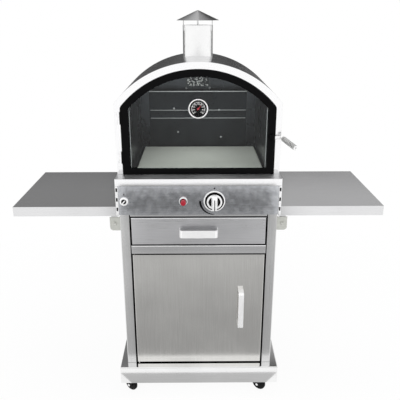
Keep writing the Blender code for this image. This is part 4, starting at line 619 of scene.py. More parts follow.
def rectangle(low_u, high_u, low_v, high_v):
    return [(low_u, low_v), (high_u, low_v), (high_u, high_v), (low_u, high_v)]


def boxed(name, low, high, edge=0.0):
    """A box between two corners, with its edges rounded."""
    piece = extruded(name, rectangle(low[0], high[0], low[1], high[1]), low[2], high[2])
    return softened(piece, edge) if edge else piece


def cut_away(piece, *cutters):
    """Cuts the cutters out of a piece, and removes them."""
    for cutter in cutters:
        taking = piece.modifiers.new("cut", "BOOLEAN")
        taking.operation = "DIFFERENCE"
        taking.solver = "EXACT"
        taking.object = cutter
    plain(piece)
    for cutter in cutters:
        bpy.data.objects.remove(cutter)
    return shaded(piece)


def middle(name):
    """The middle of a node in x and z, half its width, and how far it stands out from the panel."""
    low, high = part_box(name)
    return (low.x + high.x) / 2, (low.z + high.z) / 2, (high.x - low.x) / 2, PANEL_FACE - low.y


def on_panel(name, profile, x, z, faces=64):
    """Turns a profile about a line that stands straight out from the panel."""
    return turned(name, profile, (x, PANEL_FACE, z), FORWARD, faces)


def crescents(name, radius, side_x, low, high):
    """A pocket shape on each side of the knob's grip: the part of a disc beyond side_x."""
    made = []
    for side in (-1, 1):
        reach = math.acos(side_x / radius)
        bow = [(side * radius * math.cos(reach * t / 8), radius * math.sin(reach * t / 8))
               for t in range(-8, 9)]
        made.append(extruded(name, [(knob_x + x, knob_z + z) for x, z in bow], low, high, "Y"))
    return made


PANEL_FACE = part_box("control_panel")[0].y
KNOB_FOOT = 0.0033
KNOB_FACE = 0.0153
KNOB_EDGE = 0.003
POCKET_R = 0.0215
POCKET_DEPTH = 0.009
POCKET_SIDE = 0.0112
SKIRT_W = 0.0026
CUT_PAST = 0.002
knob_x, knob_z, knob_r, grip_out = middle("knob")
disc_r = knob_r - SKIRT_W
disc = [(0, KNOB_FOOT), (disc_r, KNOB_FOOT), (disc_r, KNOB_FACE - KNOB_EDGE),
        (disc_r - 0.0009, KNOB_FACE - 0.0009), (disc_r - KNOB_EDGE, KNOB_FACE), (0, KNOB_FACE)]
knob_disc = on_panel("knob_disc", disc, knob_x, knob_z, 72)
pocket_floor = PANEL_FACE - KNOB_FACE + POCKET_DEPTH
pocket_mouth = PANEL_FACE - KNOB_FACE - CUT_PAST
cut_away(knob_disc, *crescents("pocket", POCKET_R, POCKET_SIDE, pocket_mouth, pocket_floor))
grip_reach = knob_r - KNOB_EDGE
GRIP_HALF_W = 0.0088
GROOVE_HALF_W = 0.0017
GROOVE_D = 0.0016
END_NARROWING = 0.9
foot = KNOB_FACE - POCKET_DEPTH
half_section = [(GROOVE_HALF_W, grip_out - GROOVE_D), (GROOVE_HALF_W, grip_out),
                (GRIP_HALF_W - 0.0016, grip_out), (GRIP_HALF_W, grip_out - 0.0030), (GRIP_HALF_W, foot)]
section = [(-u, out) for u, out in reversed(half_section)] + half_section
rows = []
GRIP_SHARES = ((-1, 0.82), (-0.97, 0.92), (-0.9, 0.98), (-0.8, 1.0), (0.5, 1.0), (0.75, 0.9), (0.9, 0.72),
               (1, 0.5))
for along_share, height_share in GRIP_SHARES:
    narrowing = END_NARROWING if abs(along_share) == 1 else 1
    rows.append([(knob_x + u * narrowing, PANEL_FACE - foot - (out - foot) * height_share,
                  knob_z + along_share * grip_reach) for u, out in section])
knob_steel = satin_steel("satin_chrome_knob", "#F8F8F8", 0.24, 0.35)
# One black finish: painted shade in the knob's pockets, and the black of its skirt, grip line and gap rings.
black_fill_and_shade = moulded_nylon("black_rubber_ring", "#060607", 0.6)
fit(joined("knob_casting", [knob_disc, lofted("knob_grip", rows)]), "knob", knob_steel, "bright_stainless",
    "knob")
# The black fills in the pockets are painted shade.
shade_and_black_fills = crescents("inlay", POCKET_R - 0.0004, POCKET_SIDE + 0.0004, pocket_floor - 0.0040,
                   pocket_floor - 0.0001)
skirt = [(disc_r + 0.0001, KNOB_FOOT), (knob_r, KNOB_FOOT), (knob_r, KNOB_FACE - 0.0042),
         (disc_r + 0.0001, KNOB_FACE - 0.0034)]
shade_and_black_fills.append(on_panel("skirt", skirt, knob_x, knob_z, 72))
grip_face = PANEL_FACE - grip_out
groove_low = (knob_x - GROOVE_HALF_W + 0.0001, grip_face + 0.0004, knob_z - grip_reach * 0.97)
groove_high = (knob_x + GROOVE_HALF_W - 0.0001, grip_face + GROOVE_D, knob_z + grip_reach * 0.5)
shade_and_black_fills.append(boxed("groove_line", groove_low, groove_high))
fit(joined("knob_black_inlays", shade_and_black_fills), "knob", black_fill_and_shade, "black_nylon")
BEZEL_IN = 0.0345
BEZEL_OUT = 0.0053
BEZEL_FOOT = 0.0003
bezel_r = middle("knob_bezel")[2]
bezel = [(BEZEL_IN, BEZEL_FOOT), (bezel_r, BEZEL_FOOT), (bezel_r, 0.0025),
         (bezel_r - 0.0012, BEZEL_OUT - 0.0006), (bezel_r - 0.0024, BEZEL_OUT),
         (BEZEL_IN + 0.0006, BEZEL_OUT - 0.0004), (BEZEL_IN, BEZEL_OUT - 0.0016)]
bezel_ring = on_panel("knob_bezel_ring", bezel, knob_x, knob_z, 96)
fit(bezel_ring, "trolley", knob_steel, "bright_stainless", "knob_bezel")
ring = rectangle(knob_r + 0.0006, BEZEL_IN - 0.0001, BEZEL_FOOT, 0.0030)
fit(on_panel("knob_rubber_ring", ring, knob_x, knob_z, 72), "trolley", black_fill_and_shade, "black_nylon")


# Black screen print on the panel: the knob's tapered flame scale and its stop marks, a short mark over
# the igniter and three by the lamp switch. The ink lies 0.1 mm proud of the steel.
INK_PROUD = 0.0001
SCALE_R = 0.0525
SCALE_W = 0.0080
SCALE_START = 180
SCALE_SWEEP = 92
SCALE_STEPS = 40
MARK_HALF_H = 0.0005
TOP_MARK_Z = 0.9215
LAMP_MARK_X = -0.2722
DOT_TURNS = [math.tau * i / 20 for i in range(20)]
ink = moulded_nylon("black_panel_ink", "#050506", 0.7, 0.4)
inside, outside = [], []
for i in range(SCALE_STEPS + 1):
    turn_by = math.radians(SCALE_START + SCALE_SWEEP * i / SCALE_STEPS)
    half = SCALE_W / 2 * (1 - i / SCALE_STEPS) ** 0.6 + 0.0002
    for edge_points, radius in ((inside, SCALE_R - half), (outside, SCALE_R + half)):
        edge_points.append((knob_x + radius * math.cos(turn_by), knob_z + radius * math.sin(turn_by)))
scale_marks = [[inside[i], inside[i + 1], outside[i + 1], outside[i]] for i in range(SCALE_STEPS)]
for mark_x, mark_z, mark_r in ((knob_x, TOP_MARK_Z, 0.0030), (LAMP_MARK_X, 0.8985, 0.0022)):
    scale_marks.append([(mark_x + mark_r * math.cos(a), mark_z + mark_r * math.sin(a)) for a in DOT_TURNS])
for mark_x, mark_z, half_w in ((knob_x - 0.018, TOP_MARK_Z, 0.002), (-0.0557, 0.9190, 0.0016),
                               (LAMP_MARK_X, 0.9050, 0.0038), (-0.2490, 0.8860, 0.0022),
                               (-0.2490, 0.8690, 0.0022)):
    scale_marks.append(rectangle(mark_x - half_w, mark_x + half_w, mark_z - MARK_HALF_H,
                                 mark_z + MARK_HALF_H))
print_shape = bmesh.new()
for outline in scale_marks:
    print_shape.faces.new([print_shape.verts.new((x, PANEL_FACE - INK_PROUD, z)) for x, z in outline])
for face in print_shape.faces:
    if face.normal.y > 0:
        face.normal_flip()
print_shape.normal_update()
fit(made_of("panel_print", print_shape), "trolley", ink, "black_nylon")


# The igniter is a red push button of gloss plastic in a turned collar, whose barrel goes through the
# panel. The collar is bright and stands 8 mm proud, with a thin black bush round the button.
BARREL_SHEET = 0.0027
BARREL_END = -0.050
CAP_END = -0.012
BUSH_W = 0.0020
BUSH_PROUD = 0.0005
red_plastic = patterned("red_button_plastic", "#A01228", 160.0, 1.0, (0.85, 1.15), relief=(0.1, 0.0003),
                        IOR=1.49, Roughness=0.2)
button_x, button_z, button_r, button_out = middle("igniter_button")
button = [(0, CAP_END), (button_r, CAP_END), (button_r, button_out - 0.0035),
          (button_r * 0.94, button_out - 0.0016), (button_r * 0.78, button_out - 0.0005),
          (button_r * 0.5, button_out), (0, button_out - 0.0006)]
button_cap = on_panel("igniter_cap", button, button_x, button_z, 48)
fit(button_cap, "igniter", red_plastic, "button_red", "igniter_button")
collar_r, collar_out = middle("igniter_body")[2:]
bore = button_r + 0.0006
barrel_r = bore + BARREL_SHEET
collar = [(bore, BARREL_SHEET + BARREL_END), (0, BARREL_SHEET + BARREL_END), (0, BARREL_END),
          (barrel_r, BARREL_END), (barrel_r, BEZEL_FOOT), (collar_r, BEZEL_FOOT),
          (collar_r, collar_out - 0.0035), (collar_r - 0.0008, collar_out - 0.0012),
          (collar_r - 0.0022, collar_out), (bore + 0.0005, collar_out), (bore, collar_out - 0.0006)]
collar_piece = on_panel("igniter_collar", collar, button_x, button_z)
fit(collar_piece, "trolley", knob_steel, "bright_stainless", "igniter_body")
bush = rectangle(bore, bore + BUSH_W, collar_out, collar_out + BUSH_PROUD)
fit(on_panel("igniter_bush", bush, button_x, button_z), "trolley", black_fill_and_shade, "black_nylon")


# The lamp switch is a small black rotary knob with a raised chromed bar, in a bright collar at the panel's
# left end. The bar stands aslant, which is its off place.
HOLDER_END = -0.018
HOLDER_BARREL_R = 0.0115
BAR_HALF_W = 0.0021
BAR_HALF_L = 0.0074
BAR_DEPTH = 0.0040
BAR_ASLANT = math.radians(38)
switch_plastic = moulded_nylon("black_switch_plastic", "#0B0B0C", 0.38)
switch_x, switch_z, holder_r, holder_out = middle("lamp_switch_collar")
switch_r, switch_out = middle("lamp_switch")[2:]
bore = switch_r + 0.0005
holder = [(bore, -0.0155), (0, -0.0155), (0, HOLDER_END), (HOLDER_BARREL_R, HOLDER_END),
          (HOLDER_BARREL_R, BEZEL_FOOT), (holder_r, BEZEL_FOOT), (holder_r, holder_out - 0.003),
          (holder_r - 0.001, holder_out - 0.0008), (holder_r - 0.0025, holder_out),
          (bore + 0.0006, holder_out), (bore, holder_out - 0.0008)]
holder_piece = on_panel("lamp_switch_ring", holder, switch_x, switch_z)
fit(holder_piece, "trolley", knob_steel, "bright_stainless", "lamp_switch_collar")
switch_cap = [(0, CAP_END), (switch_r, CAP_END), (switch_r, switch_out - 0.0045),
              (switch_r - 0.0008, switch_out - 0.0035), (0, switch_out - 0.0035)]
switch_disc = on_panel("switch_disc", switch_cap, switch_x, switch_z, 48)
bar_outline = rectangle(-BAR_HALF_W, BAR_HALF_W, -BAR_HALF_L, BAR_HALF_L)
bar = softened(extruded("switch_bar", bar_outline, -switch_out, BAR_DEPTH - switch_out, "Y"), 0.0008)
bar.data.transform(Matrix.Translation((switch_x, PANEL_FACE, switch_z))
                   @ Matrix.Rotation(BAR_ASLANT, 4, "Y"))
fit(switch_disc, "lamp_switch", switch_plastic, "black_nylon", "lamp_switch")
fit(bar, "lamp_switch", knob_steel, "bright_stainless")


# Behind the panel: the gas valve is cast brass, the feed is drawn brass pipe, and the burner is a
# steel tube with two rows of flame ports along its top, blued by heat.
def geometry_tree(name, sizes):
    """Starts a geometry tree with these inputs, and returns it with its input node's outputs by name."""
    tree = bpy.data.node_groups.new(name, "GeometryNodeTree")
    tree.interface.new_socket("Geometry", in_out="OUTPUT", socket_type="NodeSocketGeometry")
    for key, value in sizes.items():
        kind = {int: "NodeSocketInt", float: "NodeSocketFloat"}.get(type(value), "NodeSocketMaterial")
        tree.interface.new_socket(key, in_out="INPUT", socket_type=kind)
    entry = node(tree, "NodeGroupInput")
    return tree, {key: entry.outputs[key] for key in sizes}


def tree_end(tree, geometry, finish):
    """Ends a geometry tree: instances made real, and the material set."""
    real = node(tree, "GeometryNodeRealizeInstances", [("Geometry", geometry)])
    painted = node(tree, "GeometryNodeSetMaterial", [("Geometry", real), ("Material", finish)])
    node(tree, "NodeGroupOutput", [("Geometry", painted)])


def grown(name, tree, sizes):
    """The plain mesh that a geometry tree makes with these sizes."""
    piece = linked(name, bpy.data.meshes.new(name))
    growth = piece.modifiers.new("growth", "NODES")
    growth.node_group = tree
    for item in tree.interface.items_tree:
        if item.item_type == "SOCKET" and item.in_out == "INPUT":
            growth[item.identifier] = sizes[item.name]
    return shaded(plain(piece))


def arithmetic(tree):
    """Gives the steps of arithmetic in a tree, each an operation on sockets or numbers."""
    def step(operation, first, second=None):
        made = node(tree, "ShaderNodeMath", operation=operation)
        for i, value in enumerate((first, second)):
            if isinstance(value, (int, float)):
                made.inputs[i].default_value = value
            elif value is not None:
                tree.links.new(value, made.inputs[i])
        return made.outputs[0]
    return step


def domes_on(tree, points, sizes, out):
    """A flattened sphere on each point, of the tree's head radius, and of its head height along one axis."""
    dome = node(tree, "GeometryNodeMeshUVSphere", [("Radius", sizes["Head radius"])], in_Segments=16,
                in_Rings=8)
    flatness = arithmetic(tree)("DIVIDE", sizes["Head height"], sizes["Head radius"])
    round_axes = {f"in_{axis}": 1.0 for axis in "XYZ" if axis != out}
    scale = node(tree, "ShaderNodeCombineXYZ", [(out, flatness)], **round_axes)
    domes = node(tree, "GeometryNodeInstanceOnPoints",
                 [("Points", points), ("Instance", dome), ("Scale", scale)])
    tree_end(tree, domes.outputs[0], sizes["Finish"])


row_tree, row_in = geometry_tree("row_of_domes", {"Count": 1, "Spacing": 0.0, "Head radius": 0.0,
                                                  "Head height": 0.0, "Finish": None})
step_along = node(row_tree, "ShaderNodeCombineXYZ", [("X", row_in["Spacing"])])
row_line = node(row_tree, "GeometryNodeMeshLine", [("Count", row_in["Count"]),
                                                   ("Offset", step_along)], mode="OFFSET")
domes_on(row_tree, row_line.outputs[0], row_in, "Z")


def row_of_domes(name, start, radius, height, finish=None, count=1, step=(1, 0, 0), facing=FORWARD):
    """Domed heads from start, step apart along a line, that stand out along facing."""
    piece = grown(name, row_tree, {"Count": count, "Spacing": Vector(step).length, "Head radius": radius,
                                   "Head height": height, "Finish": finish})
    line = Vector(step).normalized()
    out = Vector(facing)
    turned_row = Matrix((line, out.cross(line), out)).transposed().to_4x4()
    piece.data.transform(Matrix.Translation(start) @ turned_row)
    return piece


def cast_metal(name, hex_colour, roughness, mottle_mm=6.0):
    """Sand-cast or heat-stained metal: broad blotches in colour and shine, with a slightly rough skin."""
    return patterned(name, hex_colour, 1000.0 / mottle_mm, 4.0, (0.72, 1.25),
                     (roughness * 0.75, roughness * 1.3), (0.25, 0.0004), Metallic=1.0)


PORT_PITCH = 0.012
PORT_COUNT = 29
PORT_R = 0.0017
PORT_H = 0.0006
PORT_ROW_SHIFT = 0.004
PORT_SUNK = 0.0007
BURNER_R = 0.0125
brass = cast_metal("cast_brass", "#B99A5B", 0.36)
blued = cast_metal("heat_blued_steel", "#6E6A66", 0.38, 12.0)
refined("gas_valve", "trolley", brass, "brass", 0.0008)
refined("gas_feed", "trolley", brass, "brass", 0)
refined("burner_tube", "trolley", blued, "oven_steel", 0.0003)
burner_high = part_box("burner_tube")[1]
port_step = (PORT_PITCH, 0, 0)
first_port_x = -PORT_PITCH * (PORT_COUNT - 1) / 2
ports = []
for shift in (-PORT_ROW_SHIFT, PORT_ROW_SHIFT):
    first_port = (first_port_x, burner_high.y - BURNER_R + shift, burner_high.z - PORT_SUNK)
    ports.append(row_of_domes("ports", first_port, PORT_R, PORT_H, blued, PORT_COUNT, port_step, UPWARD))
fit(joined("burner_ports", ports), "trolley", blued, "oven_steel")


# The side shelves are pressed pans, brushed along their width, that fold down on zinc-plated lugs. Their
# lips carry a painted highlight, a lighter copy of the sheet. A bolt head shows at each front lug's flange.
BOLT_HEAD = (0.0055, 0.003)
BOLT_PROUD = 0.0001
shelf_steel = brushed_stainless("brushed_shelf_sheet", "#BEBEBF", 0.17, spread=0.08)
# The lips' lighter copy of the shelf sheet is a painted highlight.
painted_lip_highlight = brushed_stainless("painted_highlight_shelf_lip", "#E4E4E5", 0.17, spread=0.05)
lug_steel = zinc_plate("zinc_plated_lug", "#D0D1CB", 0.42)
for side in ("left", "right"):
    shelf = refined(f"shelf_{side}", f"shelf_{side}", shelf_steel, "brushed_stainless", 0.0013, 3)
    refaced(shelf, lambda normal: int(abs(normal.z) < LEVEL_LEAN), painted_lip_highlight)
    for row in ("front", "rear"):
        refined(f"shelf_lug_{row}_{side}", "trolley", lug_steel, "lug_steel", 0.0005)
for side in ("left", "right"):
    lug_low, lug_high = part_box(f"shelf_lug_front_{side}")
    bolt_place = ((lug_low.x + lug_high.x) / 2, lug_low.y - BOLT_PROUD, (lug_low.z + lug_high.z) / 2)
    bolt = row_of_domes(f"lug_bolt_{side}", bolt_place, *BOLT_HEAD, lug_steel)
    fit(bolt, "trolley", lug_steel, "lug_steel")


# The hood is one arched sheet of stainless, rolled over the oven and cut out for the chimney, with a
# back sheet spot-welded into it. The row of welds follows the arch.
HOOD_RISE = 0.143
HOOD_SHEET = 0.0015
ARCH_STEPS = 96
CORNER_STEPS = 8
CUTTER_OVERRUN = 0.01
HOLE_CLEAR = 0.0005
SHEET_GAP = 0.0001
BACK_BEND_R = 0.0015
PAST_ARC = 0.501
hood_low, hood_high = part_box("hood_shell")
hood_half_w = hood_high.x
hood_r = (hood_half_w**2 + HOOD_RISE**2) / (2 * HOOD_RISE)
arch_z = hood_high.z - hood_r


def arched(half_w, radius, bottom, bend_r):
    """The oven's outline from foot to foot as (x, z): straight sides, bent corners and an arc."""
    bend_z = arch_z + math.sqrt((radius - bend_r) ** 2 - (half_w - bend_r) ** 2)
    tangent = math.atan2(bend_z - arch_z, half_w - bend_r)
    right = [(half_w, bottom)]
    for i in range(CORNER_STEPS):
        a = tangent * i / CORNER_STEPS
        right.append((half_w - bend_r + bend_r * math.cos(a), bend_z + bend_r * math.sin(a)))
    top = []
    for i in range(ARCH_STEPS + 1):
        a = tangent + (math.pi - 2 * tangent) * i / ARCH_STEPS
        top.append((radius * math.cos(a), arch_z + radius * math.sin(a)))
    return right + top + [(-x, z) for x, z in reversed(right)]


hood_steel = brushed_stainless("brushed_hood_sheet", "#C6C6C8", 0.16)
hood_sizes = {"Half width": hood_half_w, "Arch radius": hood_r, "Arch centre": arch_z, "Foot": hood_low.z,
              "Front": hood_low.y, "Back": hood_high.y, "Sheet": HOOD_SHEET, "Steps": ARCH_STEPS,
              "Finish": hood_steel}
hood_tree, hood_in = geometry_tree("arched_hood_sheet", hood_sizes)
calc = arithmetic(hood_tree)
line = node(hood_tree, "GeometryNodeMeshLine", [("Count", calc("ADD", hood_in["Steps"], 3))], mode="OFFSET")
index = node(hood_tree, "GeometryNodeInputIndex").outputs[0]
share = calc("DIVIDE", calc("SUBTRACT", index, 1.0), hood_in["Steps"])
clamped = node(hood_tree, "ShaderNodeClamp", [("Value", share)]).outputs[0]
mid_r = calc("SUBTRACT", hood_in["Arch radius"], calc("DIVIDE", hood_in["Sheet"], 2.0))
mid_w = calc("SUBTRACT", hood_in["Half width"], calc("DIVIDE", hood_in["Sheet"], 2.0))
spring = calc("ARCSINE", calc("DIVIDE", mid_w, mid_r))
angle = calc("MULTIPLY", calc("SUBTRACT", calc("MULTIPLY", clamped, 2.0), 1.0), spring)
x_place = calc("MULTIPLY", calc("SINE", angle), mid_r)
arc_z = calc("ADD", calc("MULTIPLY", calc("COSINE", angle), mid_r), hood_in["Arch centre"])
is_foot = calc("GREATER_THAN", calc("ABSOLUTE", calc("SUBTRACT", share, 0.5)), PAST_ARC)
heights = [("Switch", is_foot), ("False", arc_z), ("True", hood_in["Foot"])]
z_place = node(hood_tree, "GeometryNodeSwitch", heights, input_type="FLOAT")
depth = calc("SUBTRACT", hood_in["Back"], hood_in["Front"])
y_place = calc("DIVIDE", calc("ADD", hood_in["Back"], hood_in["Front"]), 2.0)
where = node(hood_tree, "ShaderNodeCombineXYZ", [("X", x_place), ("Y", y_place), ("Z", z_place)])
bent = node(hood_tree, "GeometryNodeSetPosition", [("Geometry", line), ("Position", where)])
path = node(hood_tree, "GeometryNodeMeshToCurve", [("Mesh", bent)])
profile = node(hood_tree, "GeometryNodeCurvePrimitiveQuadrilateral",
               [("Width", hood_in["Sheet"]), ("Height", depth)])
sheet = node(hood_tree, "GeometryNodeCurveToMesh", [("Curve", path),
                                                    ("Profile Curve", profile)],
             in_Fill_Caps=True)
tree_end(hood_tree, sheet.outputs[0], hood_in["Finish"])
hood = grown("hood_sheet", hood_tree, hood_sizes)
pipe_low, pipe_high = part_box("chimney_pipe")
pipe_r = pipe_high.x
pipe_y = pipe_low.y + pipe_r


def chimney_turned(name, profile, faces):
    """Turns a profile about the chimney's upright middle line."""
    return turned(name, profile, (0, pipe_y, 0), UPWARD, faces)


hole = rectangle(0, pipe_r + HOLE_CLEAR, hood_high.z - HOOD_RISE / 2, hood_high.z + CUTTER_OVERRUN)
cut_away(hood, chimney_turned("hole", hole, 96))
back_inset = HOOD_SHEET + SHEET_GAP
back_outline = arched(hood_half_w - back_inset, hood_r - back_inset, hood_low.z, BACK_BEND_R)
back_face = hood_high.y - HOOD_SHEET / 2
hood_back = extruded("hood_back", back_outline, hood_high.y - 2 * HOOD_SHEET, back_face, "Y")
fit(joined("hood_with_back", [hood, hood_back]), "trolley", hood_steel, "brushed_stainless", "hood_shell")


def arc_points(tree, count, span, radius):
    """Points spread evenly over an arc about the Y axis, and the angle from the top that each lies at."""
    step = arithmetic(tree)
    row = node(tree, "GeometryNodeMeshLine", [("Count", count)], mode="OFFSET")
    number = node(tree, "GeometryNodeInputIndex").outputs[0]
    along = step("DIVIDE", number, step("SUBTRACT", count, 1.0))
    turn_by = step("MULTIPLY", step("SUBTRACT", along, 0.5), span)
    place = node(tree, "ShaderNodeCombineXYZ", [("X", step("MULTIPLY", step("SINE", turn_by), radius)),
                                                ("Z", step("MULTIPLY", step("COSINE", turn_by), radius))])
    moved = node(tree, "GeometryNodeSetPosition", [("Geometry", row), ("Position", place)])
    return moved.outputs[0], turn_by


weld_sizes = {"Count": 15, "Arch radius": hood_r - 0.014, "Span": math.radians(84), "Head radius": 0.0035,
              "Head height": 0.0006, "Finish": hood_steel}
weld_tree, weld_in = geometry_tree("welds_on_an_arch", weld_sizes)
domes_on(weld_tree, arc_points(weld_tree, weld_in["Count"], weld_in["Span"], weld_in["Arch radius"])[0],
         weld_in, "Y")
welds = grown("hood_back_welds", weld_tree, weld_sizes)
welds.data.transform(Matrix.Translation((0, back_face, arch_z)))
fit(welds, "trolley", hood_steel, "brushed_stainless")


# The surround is a flat arched ring of bright stainless, which turns back along its inner edge. It
# carries the fixed halves of the two hinges and the small angle that the latch arm rests on.
def swept(name, section, ring=False):
    """Sweeps a section round the arch: each of its corners is an arch outline with the y it runs at."""
    outlines, depths = zip(*section)
    rows = [[(x, y, z) for (x, z), y in zip(points, depths)] for points in zip(*outlines)]
    return lofted(name, rows, ring)


def rod(name, start, end, radius, faces=24):
    """A plain round bar between two points."""
    line = Vector(end) - Vector(start)
    return turned(name, rectangle(0, radius, 0, line.length), Vector(start), line, faces)


SURROUND_FACE = -0.174
SURROUND_SIDE_W = 0.0205
SURROUND_TOP_W = 0.0248
SURROUND_D = 0.024
SURROUND_SHEET = 0.0015
DOOR_BEND_R = 0.020
DOOR_CLEAR = 0.0018
OUTER_BEND_R = 0.003
SIDE_MARGIN = 0.0015
surround_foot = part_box("front_surround")[0].z


def mouth(inset):
    """The surround's inner edge, moved towards the hood by an inset."""
    half = hood_half_w - SURROUND_SIDE_W + inset
    return arched(half, hood_r - SURROUND_TOP_W + inset, surround_foot, DOOR_BEND_R + DOOR_CLEAR + inset)


outer_edge = arched(hood_half_w, hood_r, surround_foot, OUTER_BEND_R)
back_of_face = SURROUND_FACE + SURROUND_SHEET
back_of_ring = SURROUND_FACE + SURROUND_D
surround_section = [(outer_edge, SURROUND_FACE), (mouth(0), SURROUND_FACE), (mouth(0), back_of_ring),
                    (mouth(SURROUND_SHEET), back_of_ring), (mouth(SURROUND_SHEET), back_of_face),
                    (outer_edge, back_of_face)]
fixed_parts = [softened(swept("surround_ring", surround_section), 0.0007)]
HINGES = ("door_hinge_lower", "door_hinge_upper")
HINGE_SHEET = 0.0015
HINGE_BARREL_R = 0.004
HINGE_PIN_R = 0.0015
LEAF_GAP = 0.0005
NECK_LAP = 0.001
SCREW_SUNK = 0.0001
BARREL_IN = 0.0155
BARREL_PROUD = 0.001
LEAF_SCREW = (0.0026, 0.0012)
door_low, door_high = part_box("oven_door_frame")
hinge_x = -(hood_half_w - BARREL_IN)
hinge_y = door_low.y - BARREL_PROUD
hinge_face = SURROUND_FACE - HINGE_SHEET
leaf_outer = -(hood_half_w - SIDE_MARGIN)
leaf_inner = hinge_x - HINGE_BARREL_R - LEAF_GAP
hinge_back = SURROUND_FACE - SHEET_GAP
for hinge_name in HINGES:
    hinge_low, hinge_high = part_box(hinge_name)
    third = (hinge_high.z - hinge_low.z) / 3
    leaf_high = (leaf_inner, hinge_back, hinge_high.z)
    fixed_parts.append(boxed("leaf", (leaf_outer, hinge_face, hinge_low.z), leaf_high, 0.0004))
    for z0 in (hinge_low.z, hinge_high.z - third):
        neck_low = (leaf_inner - NECK_LAP, hinge_face, z0)
        fixed_parts.append(boxed("neck", neck_low, (hinge_x, hinge_back, z0 + third), 0.0003))
        fixed_parts.append(rod("knuckle", (hinge_x, hinge_y, z0), (hinge_x, hinge_y, z0 + third),
                               HINGE_BARREL_R))
    for z in (hinge_low.z + third / 2, hinge_high.z - third / 2):
        screw_place = ((leaf_outer + leaf_inner) / 2, hinge_face + SCREW_SUNK, z)
        fixed_parts.append(row_of_domes("screw", screw_place, *LEAF_SCREW))
LATCH_PIVOT = Vector((0.266, door_low.y, 1.098))
KEEPER_REACH = 0.017
KEEPER_T = 0.002
KEEPER_W = 0.016
KEEPER_H = 0.022
LEDGE_DOWN = 0.0055
ledge = LATCH_PIVOT.z - LEDGE_DOWN
keeper_right = hood_half_w - SIDE_MARGIN
angle_section = [(hinge_back, ledge - KEEPER_H), (hinge_back, ledge), (SURROUND_FACE - KEEPER_REACH, ledge),
                 (SURROUND_FACE - KEEPER_REACH, ledge - KEEPER_T),
                 (SURROUND_FACE - KEEPER_T, ledge - KEEPER_T), (SURROUND_FACE - KEEPER_T, ledge - KEEPER_H)]
keeper = extruded("keeper", angle_section, keeper_right - KEEPER_W, keeper_right, "X")
fixed_parts.append(softened(keeper, 0.0004))
surround_steel = brushed_stainless("bright_surround_sheet", "#FDFDFE", 0.15, "Z", depth=0.015, spread=0.015)
fit(joined("surround_with_hinges", fixed_parts), "trolley", surround_steel, "bright_stainless",
    "front_surround")


# The oven's liner is thin black-grey steel, flanged round its mouth. Its walls are crinkled by heat and
# smoked, and the rolled lip of its mouth stays bright.
def smoked_steel(name, hex_colour, roughness, crinkle_mm, crinkle_depth):
    """Thin oven steel, smoke-stained and slightly buckled by heat, so that it mirrors in broken patches."""
    made, shader, tree, place = new_finish(name, Metallic=0.85)
    smoke = noise(tree, place, 9.0, 2.0)
    tree.links.new(tinted(tree, smoke, hex_colour, 0.35, 1.7), shader.inputs["Base Color"])
    follow(tree, smoke, shader.inputs["Roughness"], roughness * 0.7, roughness * 1.4)
    raised(tree, shader, noise(tree, place, 1000.0 / crinkle_mm, 3.0), 1.0, crinkle_depth)
    return made


def bent_rod(name, path, radius, resolution=4):
    """A round bar that follows a path of points."""
    curve = bpy.data.curves.new(name, "CURVE")
    curve.dimensions = "3D"
    curve.bevel_depth = radius
    curve.bevel_resolution = resolution
    curve.use_fill_caps = True
    spline = curve.splines.new("POLY")
    spline.points.add(len(path) - 1)
    for point, place in zip(spline.points, path):
        point.co = (*place, 1)
    return shaded(plain(linked(name, curve)))


LINER_SHEET = 0.0012
LINER_SIDE_GAP = 0.0485
LINER_TOP_GAP = 0.0462
LINER_BEND_R = 0.010
FLUE_R = 0.050
LIP_R = 0.0015
LIP_UP = 0.002
liner_low, liner_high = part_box("cavity_liner")
liner_half_w = hood_half_w - LINER_SIDE_GAP
liner_r = hood_r - LINER_TOP_GAP
liner_out = arched(liner_half_w, liner_r, liner_low.z, LINER_BEND_R)
liner_in = arched(liner_half_w - LINER_SHEET, liner_r - LINER_SHEET, liner_low.z + LINER_SHEET,
                  LINER_BEND_R - LINER_SHEET)
flange = mouth(-0.0003)
behind_flange = liner_low.y + LINER_SHEET
liner_loops = [(liner_in, liner_high.y - LINER_SHEET), (liner_in, liner_low.y), (flange, liner_low.y),
               (flange, behind_flange), (liner_out, behind_flange), (liner_out, liner_high.y)]
liner = lofted("oven_liner", [[(x, y, z) for x, z in outline] for outline, y in liner_loops])
flue = rectangle(0, FLUE_R, liner_high.z - LINER_TOP_GAP, liner_high.z + CUTTER_OVERRUN)
cut_away(liner, chimney_turned("flue", flue, 64))
liner_steel = smoked_steel("smoked_liner_steel", "#505256", 0.27, 64.0, 0.0026)
fit(liner, "trolley", liner_steel, "oven_steel", "cavity_liner")
lip_inset = LINER_SHEET + LIP_R
lip_outline = arched(liner_half_w - lip_inset, liner_r - lip_inset, liner_low.z + LIP_UP, LINER_BEND_R)
lip_path = [(x, liner_low.y - LIP_R * 0.2, z) for x, z in lip_outline]
# Bright satin steel for the liner's lip and the screws, and for the strips of painted highlight on the rear
# baffle.
bright_and_highlight_steel = satin_steel("bright_lip_and_highlight_steel", "#F0F1F1", 0.25, 0.4)
fit(bent_rod("liner_lip", lip_path, LIP_R), "trolley", bright_and_highlight_steel, "bright_stainless")


